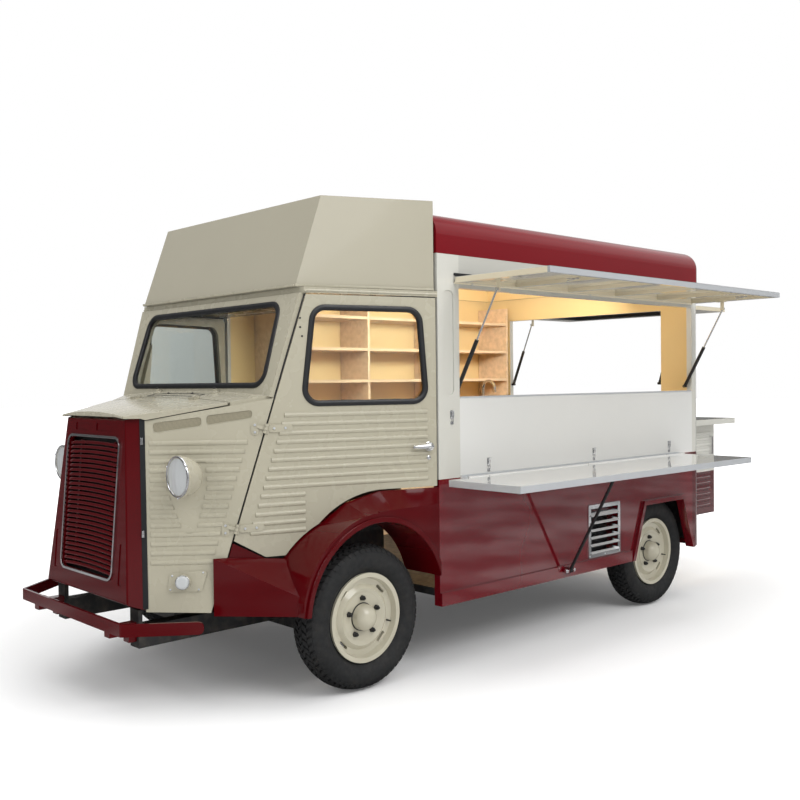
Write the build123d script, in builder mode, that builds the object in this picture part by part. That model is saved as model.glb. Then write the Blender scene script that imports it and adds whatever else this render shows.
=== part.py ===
from build123d import *
import math
import os

os.makedirs("parts", exist_ok=True)

# The truck is drawn in millimetres about its centre plane: +X is its left side, +Y runs from
# the front axle to the rear, +Z is up from the ground. write_piece moves it into the part's frame.

# Wheels
wheelbase = 2530
tyre_r = 355
tyre_w = 180
tyre_bead_r = 203
track_half = 835
stub_r = 30
stub_gap = 0.05
kingpin_x = track_half - 65
kingpin_r = 14
hub_cap = 108

# Box body
body_half = 985
wall = 40
box_front_y = 425
panel_y = box_front_y + 6
box_rear_y = wheelbase + 485
corner_r = 80
post_start_y = box_rear_y - 117
sill_z = 350
belt_z = 1000
opening_z0 = 1420
opening_z1 = 1985
opening_y0 = panel_y + 159
eave_z = 2155
roof_z = 2395
roof_side_h = 205
roof_corner = 115
roof_round = 60
roof_wall = 80
floor_z = 440
floor_t = 40
rail_front_y = -960
cab_half = track_half - 277
seat_gap = 0.3

# Rear wheel arch, an angular flange
arch_top_half = 225
arch_bottom_half = 350
arch_top_z = 690
flange_w = 28
flange_proud = 18

# Cab, tapered in plan towards the nose
taper = math.radians(17)
hinge_top_y = -255
hinge_top_z = 1928
hinge_lean = 0.3055
cab_roof_z0 = 1931
cab_roof_z1 = 1960
door_top_z = 1925
door_skin = 8
handle_z = 1173
door_t = 38
door_gap = 7
hinge_proud = 12
hinge_zs = (830, 1290)
glass_t = 5

# Front wheel arch
arch_y = 20
arch_z = 400
arch_r = 425
lip_r = 470
crease_z = 877
lip_w = 26
lip_proud = 12

# Nose
nose_front = dict(z0=506, z1=1339, y0=-1015, y1=-947, half0=430, half1=307)
nose_rear = dict(z0=475, z1=1350, y0=-937, y1=-890, half0=450, half1=355)
nose_sheet = 15
nose_round = 9
grille_half = 268
grille_z0 = 600
grille_z1 = 1250
slat_pitch = 23
slat_h = 9
slat_d = 18
slat_rise = 8

# Windscreen plane
screen_y = -412
screen_z = 1491
screen_lean = 0.307
screen_frame_t = 40
scuttle_y = -560
scuttle_t = 24

# Ribbed sheet
rib_pitch = 42
rib_w = 24
rib_h = 7

# Sign box over the cab
sign_z1 = 2416
sign_front_half = body_half - 250
sign_rear_half = body_half - 10
sign_y0 = -280
sign_y1 = -116
sign_rear_y = box_front_y - 10
sign_sheet = 18

# Serving hatch, drawn raised
hatch_axis_x = body_half + 8
hatch_axis_z = 2010
hatch_reach = 618
hatch_t = 30
hatch_y0 = opening_y0 - 38
hatch_y1 = post_start_y - 8
hatch_pin_reach = 237
hatch_pin_drop = 46
hatch_foot_x = body_half - 40
hatch_foot_z = 1450

# Counter shelf on the serving side
shelf_axis_x = body_half + 49
shelf_reach = 471
shelf_t = 34
shelf_y0 = panel_y + 19
shelf_y1 = post_start_y - 183
stay_y = (shelf_y0 + shelf_y1) / 2 - 112
stay_foot_x = body_half + 37
stay_foot_z = 392
stay_r = 9
stay_lean = math.radians(29)

# Rear doorway with flap, half doors and board
doorway_half = 700
rear_door_z0 = 480
rear_door_z1 = 1150
rear_door_t = 34
rear_axis_y = box_rear_y + 9
flap_half = doorway_half + 35
flap_reach = 798
flap_pin_reach = 207
flap_foot_y = box_rear_y - 23
flap_foot_z = 1470
board_z0 = 1160
board_t = 40
board_half = body_half - 165
board_rear_y = box_rear_y + 795
flap_window = (1000, 420, 60)

# Gas struts
barrel_r = 11
rod_r = 5
eye_r = 9
barrel_l = 300
rod_hold = 12

# Hinges
pin_r = 3
pin_l = 25
lug_r = 8
lug_t = 10
knuckle_r = 6

# Louvred vent in the serving side
vent_y0 = wheelbase - 830
vent_w = 330
vent_z0 = 425
vent_h = 320
vent_rim = 24
vent_blades = 6

# Bumper
bumper_front_y = -1105
bumper_half = 530
bumper_end = (745, -810)
bumper_z0 = 398
bumper_h = 56
bumper_t = 12

# The frame's origin is the bottom centre of the box round the whole truck
frame_x = (hatch_axis_x + hatch_reach - body_half - flange_proud) / 2
frame_y = (rear_axis_y + flap_reach + bumper_front_y) / 2
frame_place = Location((-frame_x, -frame_y, 0))


def write_piece(piece, name):
    placed = piece.moved(frame_place)
    placed.label = name
    export_step(placed, f"parts/{name}.step")


def write_pair(piece, name):
    write_piece(piece, name + "_left")
    write_piece(mirror(piece, about=Plane.YZ), name + "_right")


def block(x0, x1, y0, y1, z0, z1, mode=Mode.ADD):
    with Locations(((x0 + x1) / 2, (y0 + y1) / 2, (z0 + z1) / 2)):
        Box(abs(x1 - x0), abs(y1 - y0), abs(z1 - z0), mode=mode)


def hinge_y(z):
    return hinge_top_y - hinge_lean * (hinge_top_z - z)


def door_x(y):
    return body_half - math.tan(taper) * (box_front_y - y)


def along_door(y):
    return (y - box_front_y) / math.cos(taper)


def rib(panel, along, up, length):
    """One rounded bead on a panel plane, from along to along + length."""
    start = panel.from_local_coords((along, up, 0))
    with BuildSketch(Plane(start, x_dir=panel.y_dir, z_dir=panel.x_dir)) as bead:
        with BuildLine():
            ThreePointArc((-rib_w / 2, 0), (0, rib_h), (rib_w / 2, 0))
            Polyline((rib_w / 2, 0), (rib_w / 2, -2), (-rib_w / 2, -2), (-rib_w / 2, 0))
        make_face()
    extrude(bead.sketch, amount=length)


def lug(axis_plane, places, pin, length, wall_side):
    """Fixed half of a hinge: a plate and pin at each place along the axis, back to the wall."""
    for place in places:
        with BuildSketch(axis_plane.offset(place)) as plate:
            Circle(lug_r)
            with Locations((-wall_side / 2, 0)):
                Rectangle(wall_side, 2 * lug_r - 2)
        extrude(plate.sketch, amount=lug_t / 2, both=True)
        with BuildSketch(axis_plane.offset(place)) as bar:
            Circle(pin)
        extrude(bar.sketch, amount=length, both=True)


def knuckles(axis_plane, places, pin, length, start, stop):
    """Moving half of a hinge: a barrel from start to stop, cleared and bored at each lug."""
    with BuildSketch(axis_plane.offset(start)) as barrel:
        Circle(knuckle_r)
    extrude(barrel.sketch, amount=stop - start)
    for place in places:
        with BuildSketch(axis_plane.offset(place)) as room:
            Circle(lug_r + 5)
        extrude(room.sketch, amount=lug_t / 2 + 2, both=True, mode=Mode.SUBTRACT)
        with BuildSketch(axis_plane.offset(place)) as bore:
            Circle(pin + stub_gap)
        extrude(bore.sketch, amount=length + 1, both=True, mode=Mode.SUBTRACT)


# Tyres and rims
for end, wheel_y in (("front", 0), ("rear", wheelbase)):
    hub = (track_half, wheel_y, tyre_r)
    axle_plane = Plane(hub, x_dir=(1, 0, 0), z_dir=(0, -1, 0))
    axle = Axis(hub, (1, 0, 0))
    half = tyre_w / 2
    with BuildPart() as tyre:
        with BuildSketch(axle_plane):
            with BuildLine():
                Polyline((-58, 224), (-58, tyre_bead_r), (58, tyre_bead_r), (58, 224))
                ThreePointArc((58, 224), (half, 284), (half - 20, 338))
                ThreePointArc((half - 20, 338), (0, tyre_r), (20 - half, 338))
                ThreePointArc((20 - half, 338), (-half, 284), (-58, 224))
            make_face()
        revolve(axis=axle)
    write_pair(tyre.part, f"tyre_{end}")

    with BuildPart() as rim:
        with BuildSketch(axle_plane):
            with BuildLine():
                Polyline(
                    (-72, 218), (-59, 218), (-59, 202.7), (59, 202.7), (59, 218), (72, 218),
                    (70, 196), (40, 188), (34, 160), (52, 138), (44, 118), (36, 66), (70, 62),
                )
                ThreePointArc((70, 62), (hub_cap - 8, 36), (hub_cap, 14))
                Polyline((hub_cap, 14), (hub_cap, 0), (60, 0), (60, stub_r + stub_gap),
                         (-20, stub_r + stub_gap),
                         (-20, 58), (20, 62), (28, 120), (22, 160), (-40, 180), (-70, 196), (-72, 218))
            make_face()
        revolve(axis=axle)
        with BuildSketch(Plane(hub, x_dir=(0, 1, 0), z_dir=(1, 0, 0)).offset(-45)):
            with PolarLocations(168, 4, start_angle=45):
                SlotOverall(60, 14, rotation=90)
        extrude(amount=110, mode=Mode.SUBTRACT)
    write_pair(rim.part, f"rim_{end}")

# Front knuckle: boss on the kingpin with the stub axle for the wheel
with BuildPart() as knuckle:
    with Locations((kingpin_x, 0, tyre_r)):
        Cylinder(34, 130)
    with BuildSketch(Plane.YZ.offset(kingpin_x)):
        with Locations((0, tyre_r)):
            Circle(stub_r)
    extrude(amount=track_half + 55 - kingpin_x)
    with Locations((kingpin_x, 0, tyre_r)):
        Cylinder(kingpin_r + stub_gap, 200, mode=Mode.SUBTRACT)
write_pair(knuckle.part, "knuckle")

# Front axle: cross tube with a yoke and a kingpin at each end
with BuildPart() as front_axle:
    yoke_x = cab_half + 8
    block(38 - cab_half, cab_half - 38, -45, 45, 215, 275)
    for side in (1, -1):
        block(side * 355, side * 425, -40, 40, 270, 300)
        block(side * (yoke_x - 66), side * (kingpin_x + 22), -30, 30, 258, 285)
        block(side * yoke_x, side * (kingpin_x + 22), -30, 30, 425, 450)
        block(side * yoke_x, side * (yoke_x + 40), -30, 30, 258, 450)
        with Locations((side * kingpin_x, 0, tyre_r)):
            Cylinder(kingpin_r, 170)
write_piece(front_axle.part, "front_axle")

# Rear axle: tube with stub ends and two trailing arms up to the floor
with BuildPart() as rear_axle:
    with BuildSketch(Plane.YZ):
        with Locations((wheelbase, tyre_r)):
            Circle(38)
    extrude(amount=track_half - 60, both=True)
    with BuildSketch(Plane.YZ):
        with Locations((wheelbase, tyre_r)):
            Circle(stub_r)
    extrude(amount=track_half + 55, both=True)
    for side in (1, -1):
        block(side * 520, side * 590, wheelbase - 580, wheelbase + 50, 318, 380)
        block(side * 520, side * 590, wheelbase - 580, wheelbase - 500, 380, floor_z - floor_t)
write_piece(rear_axle.part, "rear_axle")

# Platform: floor with rails, wheel boxes, engine hump and bulkhead
wheel_box_x = track_half - tyre_w / 2 - 30
bulkhead_y = -360
cab_floor_z = 745
hump_half = 260
with BuildPart() as platform:
    block(-body_half + wall, body_half - wall, panel_y, box_rear_y - wall, floor_z - floor_t, floor_z)
    block(-cab_half, cab_half, bulkhead_y - 12, panel_y, floor_z - floor_t, floor_z)
    block(-cab_half, cab_half, bulkhead_y - 12, bulkhead_y, floor_z, 1425)
    for side in (1, -1):
        block(side * 350, side * 430, rail_front_y, wheelbase - 150, 300, floor_z - floor_t)
        block(side * 350, side * 430, rail_front_y, rail_front_y + 20, 300, 475.9)
        block(side * (cab_half - 12), side * cab_half, bulkhead_y - 12, panel_y, floor_z, cab_floor_z)
        block(side * (cab_half - 12), side * (cab_half + 140), -330, panel_y, cab_floor_z - 12, cab_floor_z)
        block(side * wheel_box_x, side * (body_half - wall), wheelbase - 390, wheelbase + 390, floor_z, 790)
    for side in (1, -1):
        block(side * (wheel_box_x + 10), side * (body_half + 5), wheelbase - 380, wheelbase + 380,
              300, 780, mode=Mode.SUBTRACT)
    block(-hump_half, hump_half, bulkhead_y - 12, 660, floor_z, 960)
    block(12 - hump_half, hump_half - 12, bulkhead_y - 20, 648, 280, 948, mode=Mode.SUBTRACT)
    block(10 - doorway_half, doorway_half - 10, box_rear_y - wall - 60, box_rear_y - wall,
          350, floor_z - floor_t)
write_piece(platform.part, "platform")

# Engine and gearbox as one block over the front axle
with BuildPart() as engine:
    block(-190, 190, 60, 620, 340, 860)
    block(-150, 150, -620, 60, 320, 640)
    for side in (1, -1):
        block(side * 140, side * (350 - seat_gap), -330, -270, 330, 380)
write_piece(engine.part, "engine")


def nose_section(spec, inset):
    """Plane and corner points of one nose section, drawn in by inset."""
    run = Vector(0, spec["y1"] - spec["y0"], spec["z1"] - spec["z0"])
    plane = Plane((0, spec["y0"], spec["z0"]), x_dir=(1, 0, 0), z_dir=Vector(1, 0, 0).cross(run))
    low, high = inset, run.length - inset
    return plane, [
        (-spec["half0"] + inset, low), (spec["half0"] - inset, low),
        (spec["half1"] - inset, high), (-spec["half1"] + inset, high),
    ]


# Nose cowl: tapering box, hollow behind, with the grille opening through its face
with BuildPart() as nose_cowl:
    for spec in (nose_front, nose_rear):
        plane, corners = nose_section(spec, 0)
        with BuildSketch(plane):
            Polygon(*corners, align=None)
    loft(ruled=True)
    fillet(nose_cowl.faces().sort_by(Axis.Y)[0].edges(), nose_round)
    front_plane, corners = nose_section(nose_front, nose_sheet)
    with BuildSketch(front_plane.offset(-nose_sheet)):
        Polygon(*corners, align=None)
    extrude(amount=-150, mode=Mode.SUBTRACT)
    with BuildSketch(front_plane):
        with Locations((0, (grille_z0 + grille_z1) / 2 - nose_front["z0"])):
            RectangleRounded(2 * grille_half, grille_z1 - grille_z0, 40)
    extrude(amount=-60, mode=Mode.SUBTRACT)
    with BuildSketch(front_plane):
        with Locations((-112, 796), (112, 796)):
            RectangleRounded(186, 36, 8)
        with Locations((-344, 170), (344, 170)):
            RectangleRounded(34, 190, 8)
    extrude(amount=-4, mode=Mode.SUBTRACT)
write_piece(nose_cowl.part, "nose_cowl")

# Grille: slats bent up a little in the middle, on two posts behind
grille_plane = front_plane.offset(-8)
with BuildPart() as grille:
    slat_count = int((grille_z1 - grille_z0 - 30) / slat_pitch)
    reach = grille_half - 0.3
    for k in range(slat_count):
        up = grille_z0 - nose_front["z0"] + 14 + k * slat_pitch
        span = reach - (14 if k in (0, slat_count - 1) else 0)
        with BuildSketch(grille_plane):
            with BuildLine():
                ThreePointArc((-span, up), (0, up + slat_rise), (span, up))
                Line((span, up), (span, up + slat_h))
                ThreePointArc((span, up + slat_h), (0, up + slat_rise + slat_h), (-span, up + slat_h))
                Line((-span, up + slat_h), (-span, up))
            make_face()
        extrude(amount=-slat_d)
    for side in (1, -1):
        with BuildSketch(grille_plane.offset(-slat_d + 4)):
            with Locations((side * 180, (grille_z0 + grille_z1) / 2 - nose_front["z0"])):
                Rectangle(20, grille_z1 - grille_z0 - 30)
        extrude(amount=-12)
write_piece(grille.part, "grille")

# Chrome surround of the grille
with BuildPart() as grille_trim:
    with BuildSketch(front_plane.offset(0.3)):
        with Locations((0, (grille_z0 + grille_z1) / 2 - nose_front["z0"])):
            RectangleRounded(2 * grille_half + 24, grille_z1 - grille_z0 + 24, 52)
            RectangleRounded(2 * grille_half + 2, grille_z1 - grille_z0 + 2, 41, mode=Mode.SUBTRACT)
    extrude(amount=8)
write_piece(grille_trim.part, "grille_trim")

# Bumper: flat bar with both ends swept back, on two brackets
with BuildPart() as bumper:
    with BuildSketch(Plane.XY.offset(bumper_z0)):
        with BuildLine():
            path = Polyline(
                (-bumper_end[0], bumper_end[1]), (-bumper_half, bumper_front_y + bumper_t),
                (bumper_half, bumper_front_y + bumper_t), bumper_end,
            )
            offset(path, amount=bumper_t, side=Side.RIGHT)
        make_face()
    extrude(amount=bumper_h)
    across = bumper.edges().filter_by(lambda edge: abs(edge.length - bumper_t) < 0.5)
    ends = across.filter_by(lambda edge: abs(edge.center().X) > bumper_half)
    fillet(ends, bumper_h * 0.45)
    block(60 - bumper_half, bumper_half - 60, bumper_front_y + 76, bumper_front_y + 84,
          bumper_z0 - 30, bumper_z0 + 20)
    for side in (1, -1):
        block(side * 360, side * 410, bumper_front_y + bumper_t, rail_front_y, bumper_z0 - 30, bumper_z0 + 20)
        block(side * 360, side * 410, rail_front_y - 40, rail_front_y, 330, bumper_z0 + 20)
write_piece(bumper.part, "bumper")

# Cab geometry: the door plane and the wing plane of the left side
door_plane = Plane(
    (body_half, box_front_y, 0),
    x_dir=(math.sin(taper), math.cos(taper), 0), z_dir=(math.cos(taper), -math.sin(taper), 0),
)


hinge_lift = Vector(math.tan(taper) * hinge_lean, hinge_lean, 1)


def hinge_point(z):
    return Vector(door_x(hinge_y(z)), hinge_y(z), z)


wing_low_z = 455
wing_top_z = 1432
nose_top = Vector(nose_rear["half1"] + 3, nose_rear["y1"], nose_rear["z1"])
wing_normal = (hinge_point(wing_low_z) - hinge_point(1290)).cross(nose_top - hinge_point(1290))
wing_normal = wing_normal.normalized() * (-1 if wing_normal.X < 0 else 1)
wing_plane = Plane(
    hinge_point(wing_low_z), x_dir=Vector(0, 0, 1).cross(wing_normal), z_dir=wing_normal
)


def on_wing(point):
    local = wing_plane.to_local_coords(point)
    return (local.X, local.Y)


wing_t = 14
nose_low = Vector(nose_rear["half0"] + 6, nose_rear["y0"] + 2, wing_low_z + 12)
wing_rear_top = on_wing(hinge_point(wing_top_z))
wing_rear_low = on_wing(hinge_point(wing_low_z))
wing_front_top = on_wing(nose_top + Vector(4, 6, -18))
wing_front_low = on_wing(nose_low)


def between(a, b, up):
    return a[0] + (b[0] - a[0]) * (up - a[1]) / (b[1] - a[1])


# Mesh vents along the top of the wing, as corners on its plane
wing_vents = (
    ((-270, 874), (-47, 900), (-47, 858), (-266, 828)),
    ((-24, 906), (190, 930), (186, 892), (-24, 860)),
)

# Wing: ribbed cheek between the nose and the door
with BuildPart() as wing:
    with BuildSketch(wing_plane):
        Polygon(wing_front_low, (wing_rear_low[0] - 3, wing_rear_low[1]),
                (wing_rear_top[0] - 3, wing_rear_top[1]), wing_front_top, align=None)
    extrude(amount=-wing_t)
    for row in range(14):
        up = 778 - row * rib_pitch
        start = between(wing_front_low, wing_front_top, up) + 26
        stop = between(wing_rear_low, wing_rear_top, up) - 66
        rib(wing_plane, start, up, stop - start)
    with BuildSketch(wing_plane):
        with BuildLine():
            Polyline((-204, 560), (-204, 690), (-26, 690), (-20, 574), (-62, 396))
            ThreePointArc((-62, 396), (-102, 362), (-140, 396))
            Line((-140, 396), (-204, 560))
        make_face()
    extrude(amount=rib_h + 3, mode=Mode.SUBTRACT)
    for corners in wing_vents:
        with BuildSketch(wing_plane):
            Polygon(*corners, align=None)
            fillet(vertices(), 14)
        extrude(amount=-4, mode=Mode.SUBTRACT)
    with BuildSketch(wing_plane):
        Polygon((-190, 182), (-16, 196), (-44, 99), (-199, 100), align=None)
        fillet(vertices(), 16)
    extrude(amount=5)
    for z in hinge_zs:
        foot = door_plane.from_local_coords((along_door(hinge_y(z)), z, hinge_proud))
        with BuildSketch(Plane(foot, x_dir=wing_plane.x_dir, z_dir=hinge_lift)) as leaf:
            Circle(9)
            with Locations((-24, 7)):
                Rectangle(48, 9)
        extrude(leaf.sketch, amount=8, both=True)
        leaf_at = on_wing(hinge_point(z))
        with BuildSketch(wing_plane) as plate:
            with Locations((leaf_at[0] - 48, leaf_at[1])):
                SlotOverall(62, 34, rotation=90)
        extrude(plate.sketch, amount=5)
        with BuildSketch(Plane(foot, x_dir=wing_plane.x_dir, z_dir=hinge_lift)) as bar:
            Circle(4)
        extrude(bar.sketch, amount=24, both=True)
write_pair(wing.part, "wing")

# Headlamps: bullet bowl with a rim on a bracket from the wing, sidelights below, and their lenses
lamp_u = -138
lamp_w = 619
lamp_out = 132
lamp_r = 92
lens_r = lamp_r - 8 - seat_gap
side_u = -128
side_w = 143
lamp_at = wing_plane.from_local_coords((lamp_u, lamp_w, lamp_out))
lamp_plane = Plane(lamp_at, x_dir=(0, -1, 0), z_dir=(1, 0, 0))
side_foot = wing_plane.from_local_coords((side_u, side_w, 5 + seat_gap))
side_plane = Plane(side_foot, x_dir=wing_plane.x_dir, z_dir=wing_normal)
bracket_foot = wing_plane.from_local_coords((lamp_u + 26, lamp_w - 20, seat_gap))
with BuildPart() as headlamp:
    with BuildSketch(lamp_plane):
        with BuildLine():
            Polyline((-112, 0), (-14, 0), (-14, lamp_r - 8), (0, lamp_r - 8), (0, lamp_r))
            ThreePointArc((0, lamp_r), (-11, lamp_r + 5), (-22, lamp_r))
            ThreePointArc((-22, lamp_r), (-74, 76), (-112, 34))
            Line((-112, 34), (-112, 0))
        make_face()
    revolve(axis=Axis(lamp_at, (0, -1, 0)))
    with BuildSketch(Plane(bracket_foot, x_dir=wing_plane.x_dir, z_dir=wing_normal)):
        RectangleRounded(66, 48, 8)
    extrude(amount=62)
with BuildPart() as sidelight:
    with BuildSketch(side_plane):
        Circle(36)
    with BuildSketch(side_plane.offset(30)):
        Circle(30)
    loft()
lamps = headlamp.part + sidelight.part
write_piece(lamps + mirror(lamps, about=Plane.YZ), "headlamps")

# Lenses of the headlamps and sidelights, and round lamps on the rear corner posts
tail_lamps = ((58, 760), (58, 880))
with BuildPart() as lens:
    with BuildSketch(lamp_plane):
        with BuildLine():
            Polyline((8, 0), (seat_gap - 14, 0), (seat_gap - 14, lens_r), (-2, lens_r))
            ThreePointArc((-2, lens_r), (5, 45), (8, 10))
            Line((8, 10), (8, 0))
        make_face()
    revolve(axis=Axis(lamp_at, (0, -1, 0)))
with BuildPart() as side_lens:
    with BuildSketch(side_plane.offset(30 + seat_gap)):
        Circle(30)
    extrude(amount=14)
    fillet(side_lens.faces().sort_by(Axis(side_plane.origin, wing_normal))[-1].edges(), 10)
with BuildPart() as tail_lens:
    for inset, up in tail_lamps:
        tail_foot = (doorway_half + inset, box_rear_y + seat_gap, up)
        with BuildSketch(Plane(tail_foot, x_dir=(-1, 0, 0), z_dir=(0, 1, 0))):
            Circle(42)
        extrude(amount=26)
    fillet(tail_lens.faces().group_by(Axis.Y)[-1].edges(), 12)
lens_set = lens.part + side_lens.part + tail_lens.part
write_piece(lens_set + mirror(lens_set, about=Plane.YZ), "headlamp_lenses")

# Windscreen frame with the scuttle, its glass and the bonnet
screen_up = Vector(0, screen_lean, 1).normalized()
screen_plane = Plane((0, screen_y, screen_z), x_dir=(1, 0, 0), z_dir=Vector(1, 0, 0).cross(screen_up))
screen_low = (1440 - screen_z) / screen_up.Z
screen_high = (cab_roof_z0 - screen_z) / screen_up.Z
with BuildPart() as screen_frame:
    with BuildSketch(screen_plane):
        low_half, top_half = body_half - 263, body_half - 221
        Polygon((-low_half, screen_low), (low_half, screen_low),
                (top_half, screen_high + 20), (-top_half, screen_high + 20), align=None)
    extrude(amount=-screen_frame_t)
    with BuildSketch(screen_plane):
        glass_low, glass_top = body_half - 337, body_half - 355
        glass_outline = [(-glass_low, 0), (glass_low, 0), (glass_top, 415), (-glass_top, 415)]
        Polygon(*glass_outline, align=None)
        fillet(vertices(), 70)
    extrude(amount=-80, mode=Mode.SUBTRACT)
    split(bisect_by=Plane.XY.offset(cab_roof_z0), keep=Keep.BOTTOM)
bonnet_axis = Plane((0, scuttle_y - 3, 1437), x_dir=(0, -0.7, 1), z_dir=(1, 0, 0))


def beside_wing(y, z):
    """Half width at which a point lies just inside the wing's inner face."""
    reach = wing_normal.dot(wing_plane.origin) - wing_t - seat_gap
    return (reach - wing_normal.Y * y - wing_normal.Z * z) / wing_normal.X


bonnet_hinge_x = beside_wing(scuttle_y, 1416) / 2
with BuildPart() as scuttle:
    for y, z in ((scuttle_y, 1416), (screen_y, 1448)):
        half, foot_half = beside_wing(y, z), beside_wing(y, z - scuttle_t)
        with BuildSketch(Plane((0, y, 0), x_dir=(1, 0, 0), z_dir=(0, -1, 0))):
            with BuildLine():
                Polyline((-half, z), (-foot_half, z - scuttle_t), (foot_half, z - scuttle_t), (half, z))
                ThreePointArc((half, z), (0, z + 20), (-half, z))
            make_face()
    loft(ruled=True)
    for side in (1, -1):
        with BuildSketch(bonnet_axis.offset(side * bonnet_hinge_x)) as room:
            Circle(knuckle_r + 3)
        extrude(room.sketch, amount=36, both=True, mode=Mode.SUBTRACT)
    lug(bonnet_axis, (-bonnet_hinge_x, bonnet_hinge_x), pin_r, pin_l, 10)
write_piece(screen_frame.part + scuttle.part, "screen_frame")

with BuildPart() as screen_glass:
    with BuildSketch(screen_plane.offset(-14)):
        Polygon(*glass_outline, align=None)
        fillet(vertices(), 70)
        offset(amount=-0.3, mode=Mode.REPLACE)
    extrude(amount=-6)
write_piece(screen_glass.part, "screen_glass")

with BuildPart() as bonnet:
    for y, half, z in ((-968, 322, 1354), (scuttle_y - 6, body_half - 391, 1414)):
        with BuildSketch(Plane((0, y, 0), x_dir=(1, 0, 0), z_dir=(0, -1, 0))):
            with BuildLine():
                Polyline((-half, z), (-half, z - 2), (half, z - 2), (half, z))
                ThreePointArc((half, z), (0, z + 20), (-half, z))
            make_face()
    loft(ruled=True)
    for side in (1, -1):
        hinge_x = side * bonnet_hinge_x
        block(hinge_x - 30, hinge_x + 30, scuttle_y - 30, scuttle_y - 6, 1420, 1437)
        knuckles(bonnet_axis, (hinge_x,), pin_r, pin_l, hinge_x - 30, hinge_x + 30)
write_piece(bonnet.part, "bonnet")

# Cab roof, seated on the screen frame and against the pillar, and the sign box on it
cab_rear_y = panel_y - seat_gap
with BuildPart() as cab_roof:
    with BuildSketch(Plane.XY.offset(cab_roof_z0)):
        Polygon((210 - body_half, -258), (body_half - 210, -258),
                (body_half, cab_rear_y), (-body_half, cab_rear_y), align=None)
    extrude(amount=cab_roof_z1 - cab_roof_z0)
write_piece(cab_roof.part, "cab_roof")


def sign_corners(front_y, inset):
    return [
        (-sign_front_half + inset, front_y + inset), (sign_front_half - inset, front_y + inset),
        (sign_rear_half - inset, sign_rear_y - inset), (-sign_rear_half + inset, sign_rear_y - inset),
    ]


with BuildPart() as sign_box:
    for z, front_y in ((cab_roof_z1, sign_y0), (sign_z1, sign_y1)):
        with BuildSketch(Plane.XY.offset(z)):
            Polygon(*sign_corners(front_y, 0), align=None)
    loft(ruled=True)
with BuildPart() as sign_space:
    for z, front_y in ((cab_roof_z1 - 1, sign_y0), (sign_z1 - sign_sheet, sign_y1)):
        with BuildSketch(Plane.XY.offset(z)):
            Polygon(*sign_corners(front_y, sign_sheet), align=None)
    loft(ruled=True)
write_piece(sign_box.part - sign_space.part, "sign_box")


def over_arch(y):
    return arch_z + math.sqrt((lip_r + door_gap + 1) ** 2 - (y - arch_y) ** 2)


toe_z = 688
toe_y = arch_y - math.sqrt((lip_r + door_gap + 1) ** 2 - (toe_z - arch_z) ** 2)
door_low_z = 970


def door_outline(front_inset, inset):
    """Closed outline of the cab door on its plane, drawn in from the opening."""
    front_low = (along_door(hinge_y(775)) + door_gap + front_inset, 775 + inset)
    front_top = (along_door(hinge_y(door_top_z)) + door_gap + front_inset, door_top_z - inset)
    Polyline(
        (along_door(toe_y), toe_z + inset), (along_door(-455) + front_inset / 3, toe_z + inset),
        front_low, front_top, (-door_gap - inset, door_top_z - inset),
        (-door_gap - inset, door_low_z + inset), (along_door(110), door_low_z + inset),
    )
    ThreePointArc((along_door(110), door_low_z + inset), (along_door(-70), 922 + inset),
                  (along_door(-200), over_arch(-200) + inset))
    ThreePointArc((along_door(-200), over_arch(-200) + inset), (along_door(-285), over_arch(-285) + inset),
                  (along_door(toe_y), toe_z + inset))


door_window = [(along_door(-268), 1402), (along_door(366), 1402),
               (along_door(330), 1864), (along_door(-216), 1864)]

# Cab door: outer skin with ribs, inner frame set back at the hinge side, window cut through
with BuildPart() as door:
    with BuildSketch(door_plane):
        with BuildLine():
            door_outline(0, 0)
        make_face()
    extrude(amount=-door_skin)
    with BuildSketch(door_plane.offset(-door_skin)):
        with BuildLine():
            door_outline(75, 22)
        make_face()
    extrude(amount=door_skin - door_t)
    with BuildSketch(door_plane):
        Polygon(*door_window, align=None)
        fillet(vertices(), 70)
    extrude(amount=-door_t, mode=Mode.SUBTRACT)
    for row in range(14):
        up = 1350 - row * rib_pitch
        start = along_door(hinge_y(up)) + 75
        stop = -60 if up > 990 else along_door(-265)
        rib(door_plane, start, up, stop - start)
    for z in hinge_zs:
        foot = door_plane.from_local_coords((along_door(hinge_y(z)), z, hinge_proud))
        with BuildSketch(Plane(foot, x_dir=door_plane.x_dir, z_dir=hinge_lift)):
            Circle(9)
            with Locations((10, 9.5)):
                Rectangle(20, 6)
        extrude(amount=22, both=True)
        with BuildSketch(door_plane):
            with Locations((along_door(hinge_y(z)) + 72, z)):
                SlotOverall(124, 36)
        extrude(amount=7)
        with BuildSketch(Plane(foot, x_dir=door_plane.x_dir, z_dir=hinge_lift)):
            Circle(13)
        extrude(amount=10, both=True, mode=Mode.SUBTRACT)
        with BuildSketch(Plane(foot, x_dir=door_plane.x_dir, z_dir=hinge_lift)):
            Circle(4 + stub_gap)
        extrude(amount=25, both=True, mode=Mode.SUBTRACT)
    with BuildSketch(door_plane):
        with Locations((-54, handle_z)):
            Circle(19)
    extrude(amount=26)
    with BuildSketch(door_plane.offset(20)):
        with Locations((-92, handle_z)):
            SlotOverall(112, 20)
    extrude(amount=9)
write_pair(door.part, "door")

with BuildPart() as door_glass:
    with BuildSketch(door_plane.offset(-16)):
        Polygon(*door_window, align=None)
        fillet(vertices(), 70)
        offset(amount=-0.3, mode=Mode.REPLACE)
    extrude(amount=-glass_t)
write_pair(door_glass.part, "door_glass")

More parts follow.
